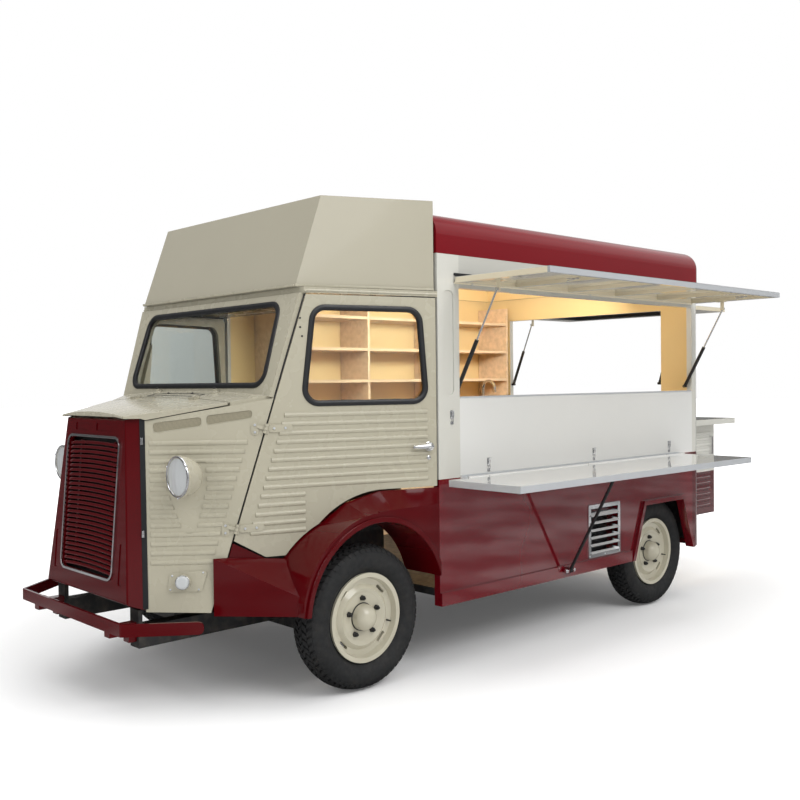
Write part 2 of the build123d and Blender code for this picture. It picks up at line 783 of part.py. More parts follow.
# Front fender: arch over the steered wheel, a wedge up to the door, an angled skirt in front
fender_inner_x = body_half - 260
fender_rear_y = panel_y - seat_gap
skirt_z = 440
skirt_out = (body_half, -392)
skirt_in = (body_half - 335, -700)
ledge = Plane((body_half - 335, -690, 705), x_dir=(335, 298, -200), z_dir=(40444, -5830, 59057))
lip_y = arch_y - math.sqrt(lip_r**2 - 105**2)
crown_top = (arch_y, arch_z + lip_r)
wedge_rows = (
    (-200, over_arch(-200) - 16, arch_z + math.sqrt(lip_r**2 - 220**2) - 1),
    (-60, 916, arch_z + math.sqrt(lip_r**2 - 80**2) + 1),
    (110, door_low_z - 8, crease_z),
    (fender_rear_y, door_low_z - 8, crease_z),
)
with BuildPart() as fender:
    with BuildSketch(Plane.YZ.offset(fender_inner_x)):
        with BuildLine():
            Polyline((fender_rear_y, sill_z), (fender_rear_y, crease_z), (arch_y, crease_z), crown_top)
            ThreePointArc(crown_top, (arch_y - lip_r * 0.707, arch_z + lip_r * 0.707), (lip_y, 505))
            Polyline((lip_y, 505), (lip_y, skirt_z), (arch_y, skirt_z), (arch_y, sill_z),
                     (fender_rear_y, sill_z))
        make_face()
        with Locations((arch_y, arch_z)):
            Circle(arch_r, mode=Mode.SUBTRACT)
        with Locations((arch_y, arch_z - 100)):
            Rectangle(2 * arch_r, 200, mode=Mode.SUBTRACT)
    extrude(amount=body_half - fender_inner_x)
    for y, top, outer in wedge_rows:
        inner = door_x(y) - 14
        with BuildSketch(Plane((0, y, 0), x_dir=(1, 0, 0), z_dir=(0, -1, 0))):
            Polygon((inner, top), (inner + 12, top), (body_half, outer), (body_half, outer - 20),
                    (inner, outer - 20), align=None)
    loft(ruled=True)
with BuildPart() as arch_lip:
    with BuildSketch(Plane.YZ.offset(body_half - 2)):
        with Locations((arch_y, arch_z)):
            Circle(arch_r + lip_w)
            Circle(arch_r, mode=Mode.SUBTRACT)
    extrude(amount=lip_proud + 2)
    fillet(arch_lip.faces().sort_by(Axis.X)[-1].edges().sort_by(SortBy.RADIUS)[-1], 4)
    chamfer(arch_lip.faces().sort_by(Axis.X)[-1].edges().sort_by(SortBy.RADIUS)[0], 3)
    split(bisect_by=Plane.XY.offset(skirt_z), keep=Keep.TOP)
    split(bisect_by=Plane.XZ.offset(-fender_rear_y), keep=Keep.TOP)

skirt_plan = [(body_half, -270), skirt_out, skirt_in, (body_half - 321, -635), (body_half - 213, -270)]
skirt_sheet = 16
with BuildPart() as skirt_space:
    with BuildSketch(Plane.XY.offset(skirt_z - 1)):
        Polygon(*skirt_plan, align=None)
        offset(amount=-skirt_sheet, mode=Mode.REPLACE)
    extrude(amount=300)
    split(bisect_by=ledge.offset(-skirt_sheet), keep=Keep.BOTTOM)
with BuildPart() as skirt:
    with BuildSketch(Plane.XY.offset(skirt_z)):
        Polygon(*skirt_plan, align=None)
    extrude(amount=300)
    split(bisect_by=ledge, keep=Keep.BOTTOM)
    add(skirt_space.part, mode=Mode.SUBTRACT)
    with BuildSketch(Plane.YZ.offset(fender_inner_x - 100)):
        with Locations((arch_y, arch_z)):
            Circle(arch_r)
        with Locations((arch_y, arch_z - 100)):
            Rectangle(2 * arch_r, 200)
    extrude(amount=400, mode=Mode.SUBTRACT)
with BuildPart() as door_room:
    with BuildSketch(door_plane.offset(1)):
        with BuildLine():
            door_outline(-8, -6)
        make_face()
    extrude(amount=-90)
write_pair(fender.part + skirt.part + arch_lip.part - door_room.part, "fender")

# Lower side panels with the angular rear arch and its flange, and the sill strip


def rear_arch(grow):
    return [
        (wheelbase - arch_bottom_half - grow, sill_z - 1), (wheelbase + arch_bottom_half + grow, sill_z - 1),
        (wheelbase + arch_top_half + grow / 2, arch_top_z + grow),
        (wheelbase - arch_top_half - grow / 2, arch_top_z + grow),
    ]


with BuildPart() as lower_panel:
    block(body_half - wall, body_half, panel_y, post_start_y, sill_z, belt_z)
    block(body_half, body_half + 14, panel_y, wheelbase - arch_bottom_half - flange_w - 4, sill_z, 418)
    with BuildSketch(Plane.YZ.offset(body_half)):
        Polygon(*rear_arch(flange_w), align=None)
    extrude(amount=flange_proud)
    with BuildSketch(Plane.YZ.offset(body_half - wall)):
        Polygon(*rear_arch(0), align=None)
    extrude(amount=wall + flange_proud, mode=Mode.SUBTRACT)
    split(bisect_by=Plane.XY.offset(sill_z), keep=Keep.TOP)
with BuildPart() as stay_bracket:
    for side in (1, -1):
        block(body_half + 14, stay_foot_x + 10, stay_y + side * 16, stay_y + side * 22, 380, 404)
    with BuildSketch(Plane((stay_foot_x, stay_y, stay_foot_z), x_dir=(1, 0, 0), z_dir=(0, 1, 0))):
        Circle(4)
    extrude(amount=20, both=True)
with BuildPart() as vent_room:
    with BuildSketch(Plane.YZ.offset(body_half - wall - 1)):
        with Locations((vent_y0 + vent_w / 2, vent_z0 + vent_h / 2)):
            Rectangle(vent_w - 2 * vent_rim + 10, vent_h - 2 * vent_rim + 10)
    extrude(amount=wall + 2)
write_piece(lower_panel.part + stay_bracket.part - vent_room.part, "lower_panel_left")
write_piece(mirror(lower_panel.part, about=Plane.YZ), "lower_panel_right")

# Upper body: serving side panel, pillar, header rails, right wall and rear corner posts
shelf_axis = Plane((shelf_axis_x, 0, belt_z), x_dir=(1, 0, 0), z_dir=(0, 1, 0))
shelf_lugs = (shelf_y0 + 310, (shelf_y0 + shelf_y1) / 2 + 58, shelf_y1 - 195)
with BuildPart() as counter_panel:
    block(body_half - wall, body_half, opening_y0, post_start_y, belt_z, opening_z0)
    block(body_half, shelf_axis_x - 7, opening_y0, shelf_y1, belt_z - shelf_t, belt_z)
    block(body_half, body_half + 8, opening_y0, shelf_y1, belt_z, belt_z + 12)
    lug(shelf_axis, shelf_lugs, pin_r, pin_l, 16)
write_piece(counter_panel.part, "counter_panel")

with BuildPart() as pillar:
    block(body_half - 80, body_half, panel_y, opening_y0, belt_z, eave_z)
    with BuildSketch(Plane.YZ.offset(body_half)):
        with Locations(((panel_y + opening_y0) / 2, 1700)):
            RectangleRounded(78, 540, 30)
    extrude(amount=-8, mode=Mode.SUBTRACT)
    with BuildSketch(Plane((hatch_foot_x, opening_y0, hatch_foot_z), x_dir=(1, 0, 0), z_dir=(0, 1, 0))):
        Circle(4)
    extrude(amount=30)
write_piece(pillar.part, "pillar")

with BuildPart() as right_wall:
    block(-body_half, -body_half + wall, panel_y, post_start_y, belt_z, eave_z)
write_piece(right_wall.part, "right_wall")

hatch_axis = Plane((hatch_axis_x, 0, hatch_axis_z), x_dir=(1, 0, 0), z_dir=(0, 1, 0))
hatch_lugs = (hatch_y0 + 128, (hatch_y0 + hatch_y1) / 2, hatch_y1 - 90)
flap_axis = Plane((0, rear_axis_y, hatch_axis_z), x_dir=(0, 1, 0), z_dir=(1, 0, 0))
flap_lugs = (135 - flap_half, flap_half - 135)
with BuildPart() as header:
    block(body_half - wall, body_half, opening_y0, post_start_y, opening_z1, eave_z)
    block(-doorway_half, doorway_half, box_rear_y - wall, box_rear_y, opening_z1, eave_z)
    block(-body_half + wall, body_half - 80, panel_y, panel_y + wall, 1990, eave_z)
    lug(hatch_axis, hatch_lugs, pin_r, pin_l, hatch_axis_x - body_half)
    lug(flap_axis, flap_lugs, pin_r, pin_l, rear_axis_y - box_rear_y)
write_piece(header.part, "header_rails")

rear_door_axis = Plane((doorway_half, rear_axis_y, 0), x_dir=(0, 1, 0), z_dir=(0, 0, 1))
rear_door_lugs = (580, 1050)
with BuildPart() as post:
    block(doorway_half, body_half, post_start_y, box_rear_y, sill_z, eave_z)
    fillet(post.edges().filter_by(Axis.Z).group_by(Axis.Y)[-1].sort_by(Axis.X)[-1], corner_r)
    block(doorway_half - 1, body_half - wall, post_start_y - 1, box_rear_y - wall, sill_z - 1, eave_z + 1,
          mode=Mode.SUBTRACT)
    with BuildSketch(Plane((doorway_half, flap_foot_y, flap_foot_z), x_dir=(0, 1, 0), z_dir=(-1, 0, 0))):
        Circle(4)
    extrude(amount=32)
    lug(rear_door_axis, rear_door_lugs, pin_r, pin_l, rear_axis_y - box_rear_y)
with BuildPart() as hatch_stud:
    with BuildSketch(Plane((hatch_foot_x, post_start_y, hatch_foot_z), x_dir=(1, 0, 0), z_dir=(0, -1, 0))):
        Circle(4)
    extrude(amount=30)
    block(hatch_foot_x - 15, hatch_foot_x, post_start_y, post_start_y + 40,
          hatch_foot_z - 15, hatch_foot_z + 15)
write_piece(post.part + hatch_stud.part, "rear_post_left")
write_piece(mirror(post.part, about=Plane.YZ), "rear_post_right")

# Roof: rounded crown, hollow below
with BuildPart() as roof:
    with BuildSketch(Plane((0, box_front_y + 3, 0), x_dir=(1, 0, 0), z_dir=(0, -1, 0))) as crown:
        with BuildLine():
            Polyline((-body_half, eave_z + roof_side_h), (-body_half, eave_z), (body_half, eave_z),
                     (body_half, eave_z + roof_side_h))
            ThreePointArc((body_half, eave_z + roof_side_h), (0, roof_z), (-body_half, eave_z + roof_side_h))
        make_face()
        fillet(crown.vertices().group_by(Axis.Y)[-1], roof_corner)
    extrude(amount=-(box_rear_y - box_front_y - 3))
    back_face = roof.faces().sort_by(Axis.Y)[-1]
    fillet(back_face.edges().filter_by(lambda edge: edge.center().Z > eave_z + 1), roof_round)
    block(roof_wall - body_half, body_half - roof_wall, box_front_y + 40, box_rear_y - roof_wall,
          eave_z - 1, eave_z + 175, mode=Mode.SUBTRACT)
write_piece(roof.part, "roof")

# Serving hatch, raised: panel with a rim, cross braces and strut brackets below
hatch_strut_y0 = opening_y0 + 21
hatch_strut_y1 = post_start_y - 21
with BuildPart() as hatch:
    block(hatch_axis_x + 4, hatch_axis_x + hatch_reach, hatch_y0, hatch_y1,
          hatch_axis_z, hatch_axis_z + hatch_t)
    block(hatch_axis_x + 34, hatch_axis_x + hatch_reach - 24, hatch_y0 + 60, hatch_y1 - 60,
          hatch_axis_z - 1, hatch_axis_z + hatch_t - 10, mode=Mode.SUBTRACT)
    for k in range(1, 5):
        y = hatch_y0 + (hatch_y1 - hatch_y0) * k / 5
        block(hatch_axis_x + 30, hatch_axis_x + hatch_reach - 20, y - 20, y + 20,
              hatch_axis_z, hatch_axis_z + hatch_t - 8)
    knuckles(hatch_axis, hatch_lugs, pin_r, pin_l, hatch_y0, hatch_y1)
    for y, inward in ((hatch_strut_y0, 1), (hatch_strut_y1, -1)):
        cheek = y + inward * (8 + seat_gap)
        block(hatch_axis_x + hatch_pin_reach - 12, hatch_axis_x + hatch_pin_reach + 12,
              cheek, cheek + inward * 5, hatch_axis_z - hatch_pin_drop - 12, hatch_axis_z + 5)
        block(hatch_axis_x + hatch_pin_reach - 30, hatch_axis_x + hatch_pin_reach + 30,
              cheek, cheek + inward * 34, hatch_axis_z - 5, hatch_axis_z)
write_piece(hatch.part, "hatch")


def strut_pair(foot, pin, places, across):
    """Barrels and rods from foot to pin in the plane across the hinge, at each place."""
    run = pin - foot
    rod_l = run.length - barrel_l + rod_hold
    with BuildPart() as barrels:
        for place in places:
            start = foot + across * place
            with BuildSketch(Plane(start, x_dir=across, z_dir=run)):
                Circle(barrel_r)
            extrude(amount=barrel_l)
            with BuildSketch(Plane(start, x_dir=across, z_dir=run).offset(15)):
                Circle(rod_r + 0.3)
            extrude(amount=barrel_l, mode=Mode.SUBTRACT)
            with BuildSketch(Plane(start, x_dir=run, z_dir=across)):
                Circle(eye_r)
            extrude(amount=14, both=True)
            with BuildSketch(Plane(start, x_dir=run, z_dir=across)):
                Circle(4 + stub_gap)
            extrude(amount=14, both=True, mode=Mode.SUBTRACT)
    with BuildPart() as rods:
        for place in places:
            tip = pin + across * place
            with BuildSketch(Plane(tip, x_dir=across, z_dir=-run)):
                Circle(rod_r)
            extrude(amount=rod_l)
            with BuildSketch(Plane(tip, x_dir=run, z_dir=across)):
                Circle(eye_r)
            extrude(amount=8, both=True)
    return barrels.part, rods.part


hatch_foot = Vector(hatch_foot_x, 0, hatch_foot_z)
hatch_pin = Vector(hatch_axis_x + hatch_pin_reach, 0, hatch_axis_z - hatch_pin_drop)
barrels, rods = strut_pair(hatch_foot, hatch_pin, (hatch_strut_y0, hatch_strut_y1), Vector(0, 1, 0))
write_piece(barrels, "hatch_barrels")
write_piece(rods, "hatch_rods")

# Counter shelf and the stay below it
with BuildPart() as shelf:
    block(shelf_axis_x + 3, shelf_axis_x + shelf_reach, shelf_y0, shelf_y1, belt_z - shelf_t, belt_z)
    knuckles(shelf_axis, shelf_lugs, pin_r, pin_l, shelf_y0 + 150, shelf_y1)
write_piece(shelf.part, "counter_shelf")

with BuildPart() as stay:
    foot = Vector(stay_foot_x, stay_y, stay_foot_z)
    lean = Vector(math.sin(stay_lean), 0, math.cos(stay_lean))
    stay_l = (belt_z - shelf_t - 5 - stay_foot_z) / math.cos(stay_lean) - 6
    with BuildSketch(Plane(foot, x_dir=(0, 1, 0), z_dir=lean)):
        Circle(stay_r)
    extrude(amount=stay_l)
    with BuildSketch(Plane(foot, x_dir=(1, 0, 0), z_dir=(0, 1, 0))):
        Circle(14)
    extrude(amount=14, both=True)
    with BuildSketch(Plane(foot, x_dir=(1, 0, 0), z_dir=(0, 1, 0))):
        Circle(4 + stub_gap)
    extrude(amount=14, both=True, mode=Mode.SUBTRACT)
write_piece(stay.part, "shelf_stay")

# Rear flap with its window, rear struts, half doors and the board
flap_strut_x = doorway_half - 22
with BuildPart() as flap:
    block(-flap_half, flap_half, rear_axis_y + 4, rear_axis_y + flap_reach,
          hatch_axis_z, hatch_axis_z + hatch_t)
    with BuildSketch(Plane.XY.offset(hatch_axis_z)):
        with Locations((0, rear_axis_y + flap_reach * 0.5)):
            RectangleRounded(*flap_window)
    extrude(amount=hatch_t, mode=Mode.SUBTRACT)
    knuckles(flap_axis, flap_lugs, pin_r, pin_l, -flap_half, flap_half)
    for side in (1, -1):
        cheek = flap_strut_x - 8 - seat_gap
        pin_y = rear_axis_y + flap_pin_reach
        block(side * cheek, side * (cheek - 5), pin_y - 12, pin_y + 12,
              hatch_axis_z - hatch_pin_drop - 12, hatch_axis_z + 5)
        block(side * cheek, side * (cheek - 34), pin_y - 30, pin_y + 30, hatch_axis_z - 5, hatch_axis_z)
write_piece(flap.part, "rear_flap")

with BuildPart() as flap_glass:
    with BuildSketch(Plane.XY.offset(hatch_axis_z + 12)):
        with Locations((0, rear_axis_y + flap_reach * 0.5)):
            RectangleRounded(*flap_window)
        offset(amount=-seat_gap, mode=Mode.REPLACE)
    extrude(amount=glass_t)
write_piece(flap_glass.part, "rear_flap_glass")

flap_foot = Vector(0, flap_foot_y, flap_foot_z)
flap_pin = Vector(0, rear_axis_y + flap_pin_reach, hatch_axis_z - hatch_pin_drop)
barrels, rods = strut_pair(flap_foot, flap_pin, (-flap_strut_x, flap_strut_x), Vector(1, 0, 0))
write_piece(barrels, "flap_barrels")
write_piece(rods, "flap_rods")

with BuildPart() as rear_door:
    block(doorway_half - 4 - rear_door_t, doorway_half - 4, rear_axis_y + 4, rear_axis_y + doorway_half - 6,
          rear_door_z0, rear_door_z1)
    rear_plane = Plane((doorway_half - 4, rear_axis_y, 0), x_dir=(0, 1, 0), z_dir=(1, 0, 0))
    for row in range(14):
        rib(rear_plane, 70, rear_door_z0 + 60 + row * rib_pitch, doorway_half - 140)
    knuckles(rear_door_axis, rear_door_lugs, pin_r, pin_l, rear_door_z0, rear_door_z1)
write_pair(rear_door.part, "rear_door")

with BuildPart() as board:
    block(-board_half, board_half, box_rear_y, board_rear_y, board_z0, board_z0 + board_t)
write_piece(board.part, "rear_board")

# Louvred vent: a rim over the cut-out with slanted blades
with BuildPart() as vent:
    with BuildSketch(Plane.YZ.offset(body_half + seat_gap)):
        with Locations((vent_y0 + vent_w / 2, vent_z0 + vent_h / 2)):
            RectangleRounded(vent_w, vent_h, 10)
            Rectangle(vent_w - 2 * vent_rim, vent_h - 2 * vent_rim, mode=Mode.SUBTRACT)
    extrude(amount=5)
    blade_pitch = (vent_h - 2 * vent_rim) / vent_blades
    for k in range(vent_blades):
        foot = vent_z0 + vent_rim + k * blade_pitch
        with BuildSketch(Plane((body_half, vent_y0 + vent_rim - 4, foot), x_dir=(1, 0, 0), z_dir=(0, 1, 0))):
            with Locations(Rotation(0, 0, 180)):
                Polygon((-14, -2), (-14, 2), (18, blade_pitch - 10), (18, blade_pitch - 14), align=None)
        extrude(amount=vent_w - 2 * vent_rim + 8)
write_piece(vent.part, "side_vent")

# Galley along the right wall: cupboard, worktop on an end panel, and shelving of boards between uprights
galley_x = -body_half + wall + 5
galley_y0 = opening_y0 + 50
galley_y1 = wheelbase - 450
shelf_end_y = post_start_y - 18
worktop_z = 1150
upright_t = 20
bays = 3
bay = (shelf_end_y - galley_y0 - upright_t) / bays
with BuildPart() as galley:
    block(galley_x, galley_x + 420, galley_y0, galley_y1, floor_z + seat_gap, worktop_z - 30 - seat_gap)
    block(galley_x + 240, galley_x + 420, shelf_end_y - upright_t, shelf_end_y,
          floor_z + seat_gap, worktop_z - 30 - seat_gap)
    block(galley_x, galley_x + 440, galley_y0 - 20, shelf_end_y, worktop_z - 30, worktop_z)
    for k in range(bays + 1):
        y = galley_y0 + k * bay
        block(galley_x, galley_x + 300, y, y + upright_t, worktop_z + seat_gap, 2080)
    for k in range(bays):
        y = galley_y0 + k * bay + upright_t
        for z in (1500, 1720, 1940):
            block(galley_x, galley_x + 300, y + seat_gap, y + bay - upright_t - seat_gap, z, z + 20)
write_piece(galley.part, "galley")

# Tap: swan neck on a round foot
tap_at = (galley_x + 340, wheelbase, worktop_z + seat_gap)
tap_r = 11
with BuildPart() as tap:
    with BuildLine(Plane(tap_at, x_dir=(1, 0, 0), z_dir=(0, -1, 0))) as neck:
        Line((0, 0), (0, 290))
        ThreePointArc((0, 290), (60, 350), (120, 290))
        Line((120, 290), (120, 262))
    with BuildSketch(Plane(tap_at)):
        Circle(tap_r)
    sweep(path=neck.wire())
    with BuildSketch(Plane(tap_at)):
        Circle(24)
    extrude(amount=16)
    with BuildSketch(Plane((tap_at[0], tap_at[1], tap_at[2] + 60), x_dir=(0, 0, 1), z_dir=(0, 1, 0))):
        Circle(8)
    extrude(amount=58)
write_piece(tap.part, "tap")

# Seats, dashboard with the steering column, and the steering wheel on its shaft
seat_x1 = body_half - 280
seat_x0 = hump_half + 30
with BuildPart() as seats:
    for side in (1, -1):
        block(side * seat_x0, side * seat_x1, -40, 400, cab_floor_z + seat_gap, 870)
        block(side * seat_x0, side * seat_x1, 310, 410, 870, 1330)
write_piece(seats.part, "seats")

wheel_tilt = Vector(0, 0.72, 0.69).normalized()
wheel_at = Vector((seat_x0 + seat_x1) / 2 - 48, -100, 1290)
column_r = 24
shaft_r = 10
column_end = (wheel_at.Y - 13 * wheel_tilt.Y - bulkhead_y - seat_gap) / wheel_tilt.Y
with BuildPart() as dashboard:
    block(345 - body_half, body_half - 345, bulkhead_y + seat_gap, -250, 1200, 1400)
    block(wheel_at.X - 60, wheel_at.X + 60, bulkhead_y + seat_gap, -250, 1120, 1205)
    with BuildSketch(Plane(wheel_at - wheel_tilt * (13 + seat_gap), x_dir=(1, 0, 0), z_dir=-wheel_tilt)):
        Circle(column_r)
    extrude(amount=column_end)
    split(bisect_by=Plane((0, bulkhead_y + seat_gap, 0), x_dir=(1, 0, 0), z_dir=(0, 1, 0)), keep=Keep.TOP)
    with BuildSketch(Plane(wheel_at, x_dir=(1, 0, 0), z_dir=-wheel_tilt)):
        Circle(shaft_r + stub_gap)
    extrude(amount=120, mode=Mode.SUBTRACT)
write_piece(dashboard.part, "dashboard")

with BuildPart() as steering_wheel:
    with Locations(Plane(wheel_at, x_dir=(1, 0, 0), z_dir=wheel_tilt)):
        Torus(200, 13)
        Cylinder(30, 26)
    for turn in (0, 120, 240):
        with BuildSketch(Plane(wheel_at, x_dir=(1, 0, 0), z_dir=wheel_tilt)):
            with Locations(Rotation(0, 0, turn)):
                with Locations((110, 0)):
                    Rectangle(180, 20)
        extrude(amount=5, both=True)
    with BuildSketch(Plane(wheel_at, x_dir=(1, 0, 0), z_dir=-wheel_tilt)):
        Circle(shaft_r)
    extrude(amount=110)
write_piece(steering_wheel.part, "steering_wheel")
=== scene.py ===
import math

import bmesh
import bpy
from mathutils import Matrix, Vector


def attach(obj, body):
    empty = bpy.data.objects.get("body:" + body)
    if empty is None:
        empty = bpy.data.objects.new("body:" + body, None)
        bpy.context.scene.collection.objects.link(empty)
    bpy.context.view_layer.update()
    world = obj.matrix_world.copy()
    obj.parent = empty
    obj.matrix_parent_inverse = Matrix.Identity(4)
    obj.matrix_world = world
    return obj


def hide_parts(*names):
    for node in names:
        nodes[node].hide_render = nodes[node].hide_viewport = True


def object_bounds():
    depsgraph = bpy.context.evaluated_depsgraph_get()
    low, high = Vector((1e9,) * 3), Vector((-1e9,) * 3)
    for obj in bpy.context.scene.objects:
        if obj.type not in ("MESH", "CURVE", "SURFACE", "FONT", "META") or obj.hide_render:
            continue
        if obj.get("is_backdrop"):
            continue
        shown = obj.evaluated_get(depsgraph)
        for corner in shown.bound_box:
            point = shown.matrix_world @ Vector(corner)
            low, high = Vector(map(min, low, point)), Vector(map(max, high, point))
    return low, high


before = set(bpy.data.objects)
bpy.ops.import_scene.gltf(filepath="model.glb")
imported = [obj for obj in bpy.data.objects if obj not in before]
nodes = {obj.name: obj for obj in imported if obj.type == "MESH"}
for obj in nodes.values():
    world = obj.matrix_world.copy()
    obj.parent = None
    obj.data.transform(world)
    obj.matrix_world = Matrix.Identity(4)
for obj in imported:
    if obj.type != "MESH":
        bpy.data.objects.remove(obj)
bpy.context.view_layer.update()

# The truck is dressed in the drawing's millimetres: +X is its left, +Y runs back from the front
# axle, +Z is up. The frame's origin lies at this place in the drawing, in metres.
ORIGIN_X = 0.304
ORIGIN_Y = 1.3585


def at(x, y, z):
    return Vector((x / 1000 - ORIGIN_X, y / 1000 - ORIGIN_Y, z / 1000))


def circle(count):
    """The angles of count points round a circle."""
    return [2 * math.pi * k / count for k in range(count)]


class Flat:
    """A flat of the body: a point on it, the direction along it and its outward normal, in drawing
    millimetres. Called with a place along it, up it and off it, it gives the point in the frame."""

    def __init__(self, origin, along, out, side=1):
        self.origin = Vector(origin)
        self.along = Vector(along).normalized()
        self.out = Vector(out).normalized()
        self.up = self.out.cross(self.along)
        self.side = side

    def __call__(self, u, w, rise=0.0):
        p = self.origin + self.along * u + self.up * w + self.out * rise
        return at(p.x * self.side, p.y, p.z)

    def normal(self):
        return Vector((self.out.x * self.side, self.out.y, self.out.z))

    def on(self, sign):
        """The same flat on the left, for sign 1, or mirrored to the right, for sign -1."""
        return Flat(self.origin, self.along, self.out, self.side * sign)

    def local(self, point):
        d = Vector(point) - self.origin
        return d.dot(self.along), d.dot(self.up)


# Materials
def srgb(r, g, b):
    def linear(v):
        v /= 255
        return v / 12.92 if v <= 0.04045 else ((v + 0.055) / 1.055) ** 2.4
    return linear(r), linear(g), linear(b), 1.0


def shaded(colour, share):
    return tuple(min(1.0, c * share) for c in colour[:3]) + (1.0,)


class Nodes:
    """A node tree with helpers that add and link nodes. Its textures lie in the coordinates named by space."""

    def __init__(self, tree, space):
        self.tree = tree
        self.place = self.add("ShaderNodeTexCoord").outputs[space]

    def add(self, kind, **values):
        node = self.tree.nodes.new(kind)
        for key, value in values.items():
            setattr(node, key, value)
        return node

    def link(self, source, target):
        self.tree.links.new(source, target)

    def stretched(self, scale):
        mapping = self.add("ShaderNodeMapping")
        mapping.inputs["Scale"].default_value = scale
        self.link(self.place, mapping.inputs["Vector"])
        return mapping.outputs["Vector"]

    def noise(self, scale, detail=3.0, place=None):
        node = self.add("ShaderNodeTexNoise")
        node.inputs["Scale"].default_value = scale
        node.inputs["Detail"].default_value = detail
        self.link(place or self.place, node.inputs["Vector"])
        return node.outputs["Fac"]

    def mix(self, factor, low, high):
        node = self.add("ShaderNodeMix", data_type="RGBA")
        self.link(factor, node.inputs["Factor"])
        for socket, value in ((node.inputs["A"], low), (node.inputs["B"], high)):
            if isinstance(value, tuple):
                socket.default_value = value
            else:
                self.link(value, socket)
        return node.outputs["Result"]

    def remap(self, value, low, high, start=0.3, stop=0.7):
        """Takes start to stop over to low to high."""
        node = self.add("ShaderNodeMapRange")
        for key, number in (("From Min", start), ("From Max", stop), ("To Min", low), ("To Max", high)):
            node.inputs[key].default_value = number
        self.link(value, node.inputs["Value"])
        return node.outputs["Result"]

    def math(self, operation, a, b):
        node = self.add("ShaderNodeMath", operation=operation)
        for socket, value in zip(node.inputs, (a, b)):
            if isinstance(value, (int, float)):
                socket.default_value = value
            else:
                self.link(value, socket)
        return node.outputs["Value"]

    def axes(self):
        split = self.add("ShaderNodeSeparateXYZ")
        self.link(self.place, split.inputs["Vector"])
        return split.outputs

    def within(self, low, high):
        """1 inside the box from low to high, given in drawing millimetres, and 0 outside it."""
        result = None
        for axis, a, b in zip(self.axes(), at(*low), at(*high)):
            for test in (self.math("GREATER_THAN", axis, a), self.math("LESS_THAN", axis, b)):
                result = test if result is None else self.math("MULTIPLY", result, test)
        return result


class Maker(Nodes):
    """One procedural material round a Principled shader."""

    def __init__(self, name):
        self.material = bpy.data.materials.new(name)
        self.material.use_nodes = True
        super().__init__(self.material.node_tree, "Object")
        self.shader = self.tree.nodes["Principled BSDF"]

    def set(self, **values):
        """Sets constants on the shader's own sockets, named with _ for a space."""
        for key, value in values.items():
            self.shader.inputs[key.replace("_", " ")].default_value = value

    def feed(self, socket, value):
        self.link(value, self.shader.inputs[socket])

    def clouded(self, factor, colour, shift):
        """A colour that wanders by a share shift either way."""
        return self.mix(factor, shaded(colour, 1 - shift), shaded(colour, 1 + shift))

    def bump(self, height, strength, distance=0.001, edge=0.0):
        """Bends the normal by a height, and rounds edges to the radius edge where the sheet allows it."""
        node = self.add("ShaderNodeBump")
        node.inputs["Strength"].default_value = strength
        node.inputs["Distance"].default_value = distance
        self.link(height, node.inputs["Height"])
        if edge:
            rounded = self.add("ShaderNodeBevel", samples=4)
            rounded.inputs["Radius"].default_value = edge
            self.link(rounded.outputs["Normal"], node.inputs["Normal"])
        self.feed("Normal", node.outputs["Normal"])


# Boxes in the drawing whose surfaces are painted as the lining
INSIDE = ((-948, 455, 441), (948, 2978, 2160))
UNDER_ROOF = ((-908, 455, 2150), (908, 2938, 2332))
LINING = srgb(236, 208, 150)
ALUMINIUM = srgb(206, 209, 212)
PEEL = 0.000012
PAINT_EDGE = 0.0006
METAL_EDGE = 0.0015


def paint(name, colour, rough, coat, below=None, lined=None, shift=0.03, dust=0.0, wavy=0.0, bare=None, shine=0.5):
    """Gloss paint with a faint orange peel on sheet that isn't quite flat. below is (height, colour) of a
    second colour, lined is a box that is painted as the lining, bare is one of bare aluminium."""
    m = Maker(name)
    cloud = m.noise(2.5, 4.0)
    tone = m.clouded(cloud, colour, shift)
    if below:
        height, second = below
        low = m.math("LESS_THAN", m.axes()["Z"], height / 1000)
        tone = m.mix(low, tone, m.clouded(cloud, second, shift))
    if lined:
        tone = m.mix(m.within(*lined), tone, m.mix(cloud, shaded(LINING, 0.94), LINING))
    if dust:
        low = m.remap(m.axes()["Z"], dust, 0.0, 0.1, 0.55)
        speck = m.math("MULTIPLY", low, m.remap(m.noise(14.0, 6.0), 0.2, 1.0))
        tone = m.mix(speck, tone, srgb(120, 105, 88))
    if bare:
        inside = m.within(*bare)
        tone = m.mix(inside, tone, ALUMINIUM)
        m.feed("Metallic", m.math("MULTIPLY", inside, 0.5))
    m.feed("Base Color", tone)
    m.feed("Roughness", m.remap(m.noise(12.0), rough - 0.015, rough + 0.02))
    m.set(Specular_IOR_Level=shine, Coat_Weight=coat, Coat_Roughness=0.05)
    height = m.math("MULTIPLY", m.noise(45.0, 2.0), PEEL)
    if wavy:
        height = m.math("ADD", height, m.math("MULTIPLY", m.noise(4.5, 1.0), wavy))
    m.bump(height, 1.0, 1.0, PAINT_EDGE)
    return m.material


def metal(name, colour, rough, brushed=None, bare=1.0):
    """Bright metal with a grain, which brushed stretches along an axis. bare is how metallic it looks."""
    m = Maker(name)
    m.feed("Base Color", m.clouded(m.noise(18.0, 4.0), colour, 0.06))
    m.set(Metallic=bare)
    grain = m.noise(90.0, 3.0, m.stretched(brushed) if brushed else None)
    m.feed("Roughness", m.remap(grain, max(0.02, rough - 0.06), rough + 0.08))
    m.bump(grain, 0.08, 0.0004, METAL_EDGE)
    return m.material


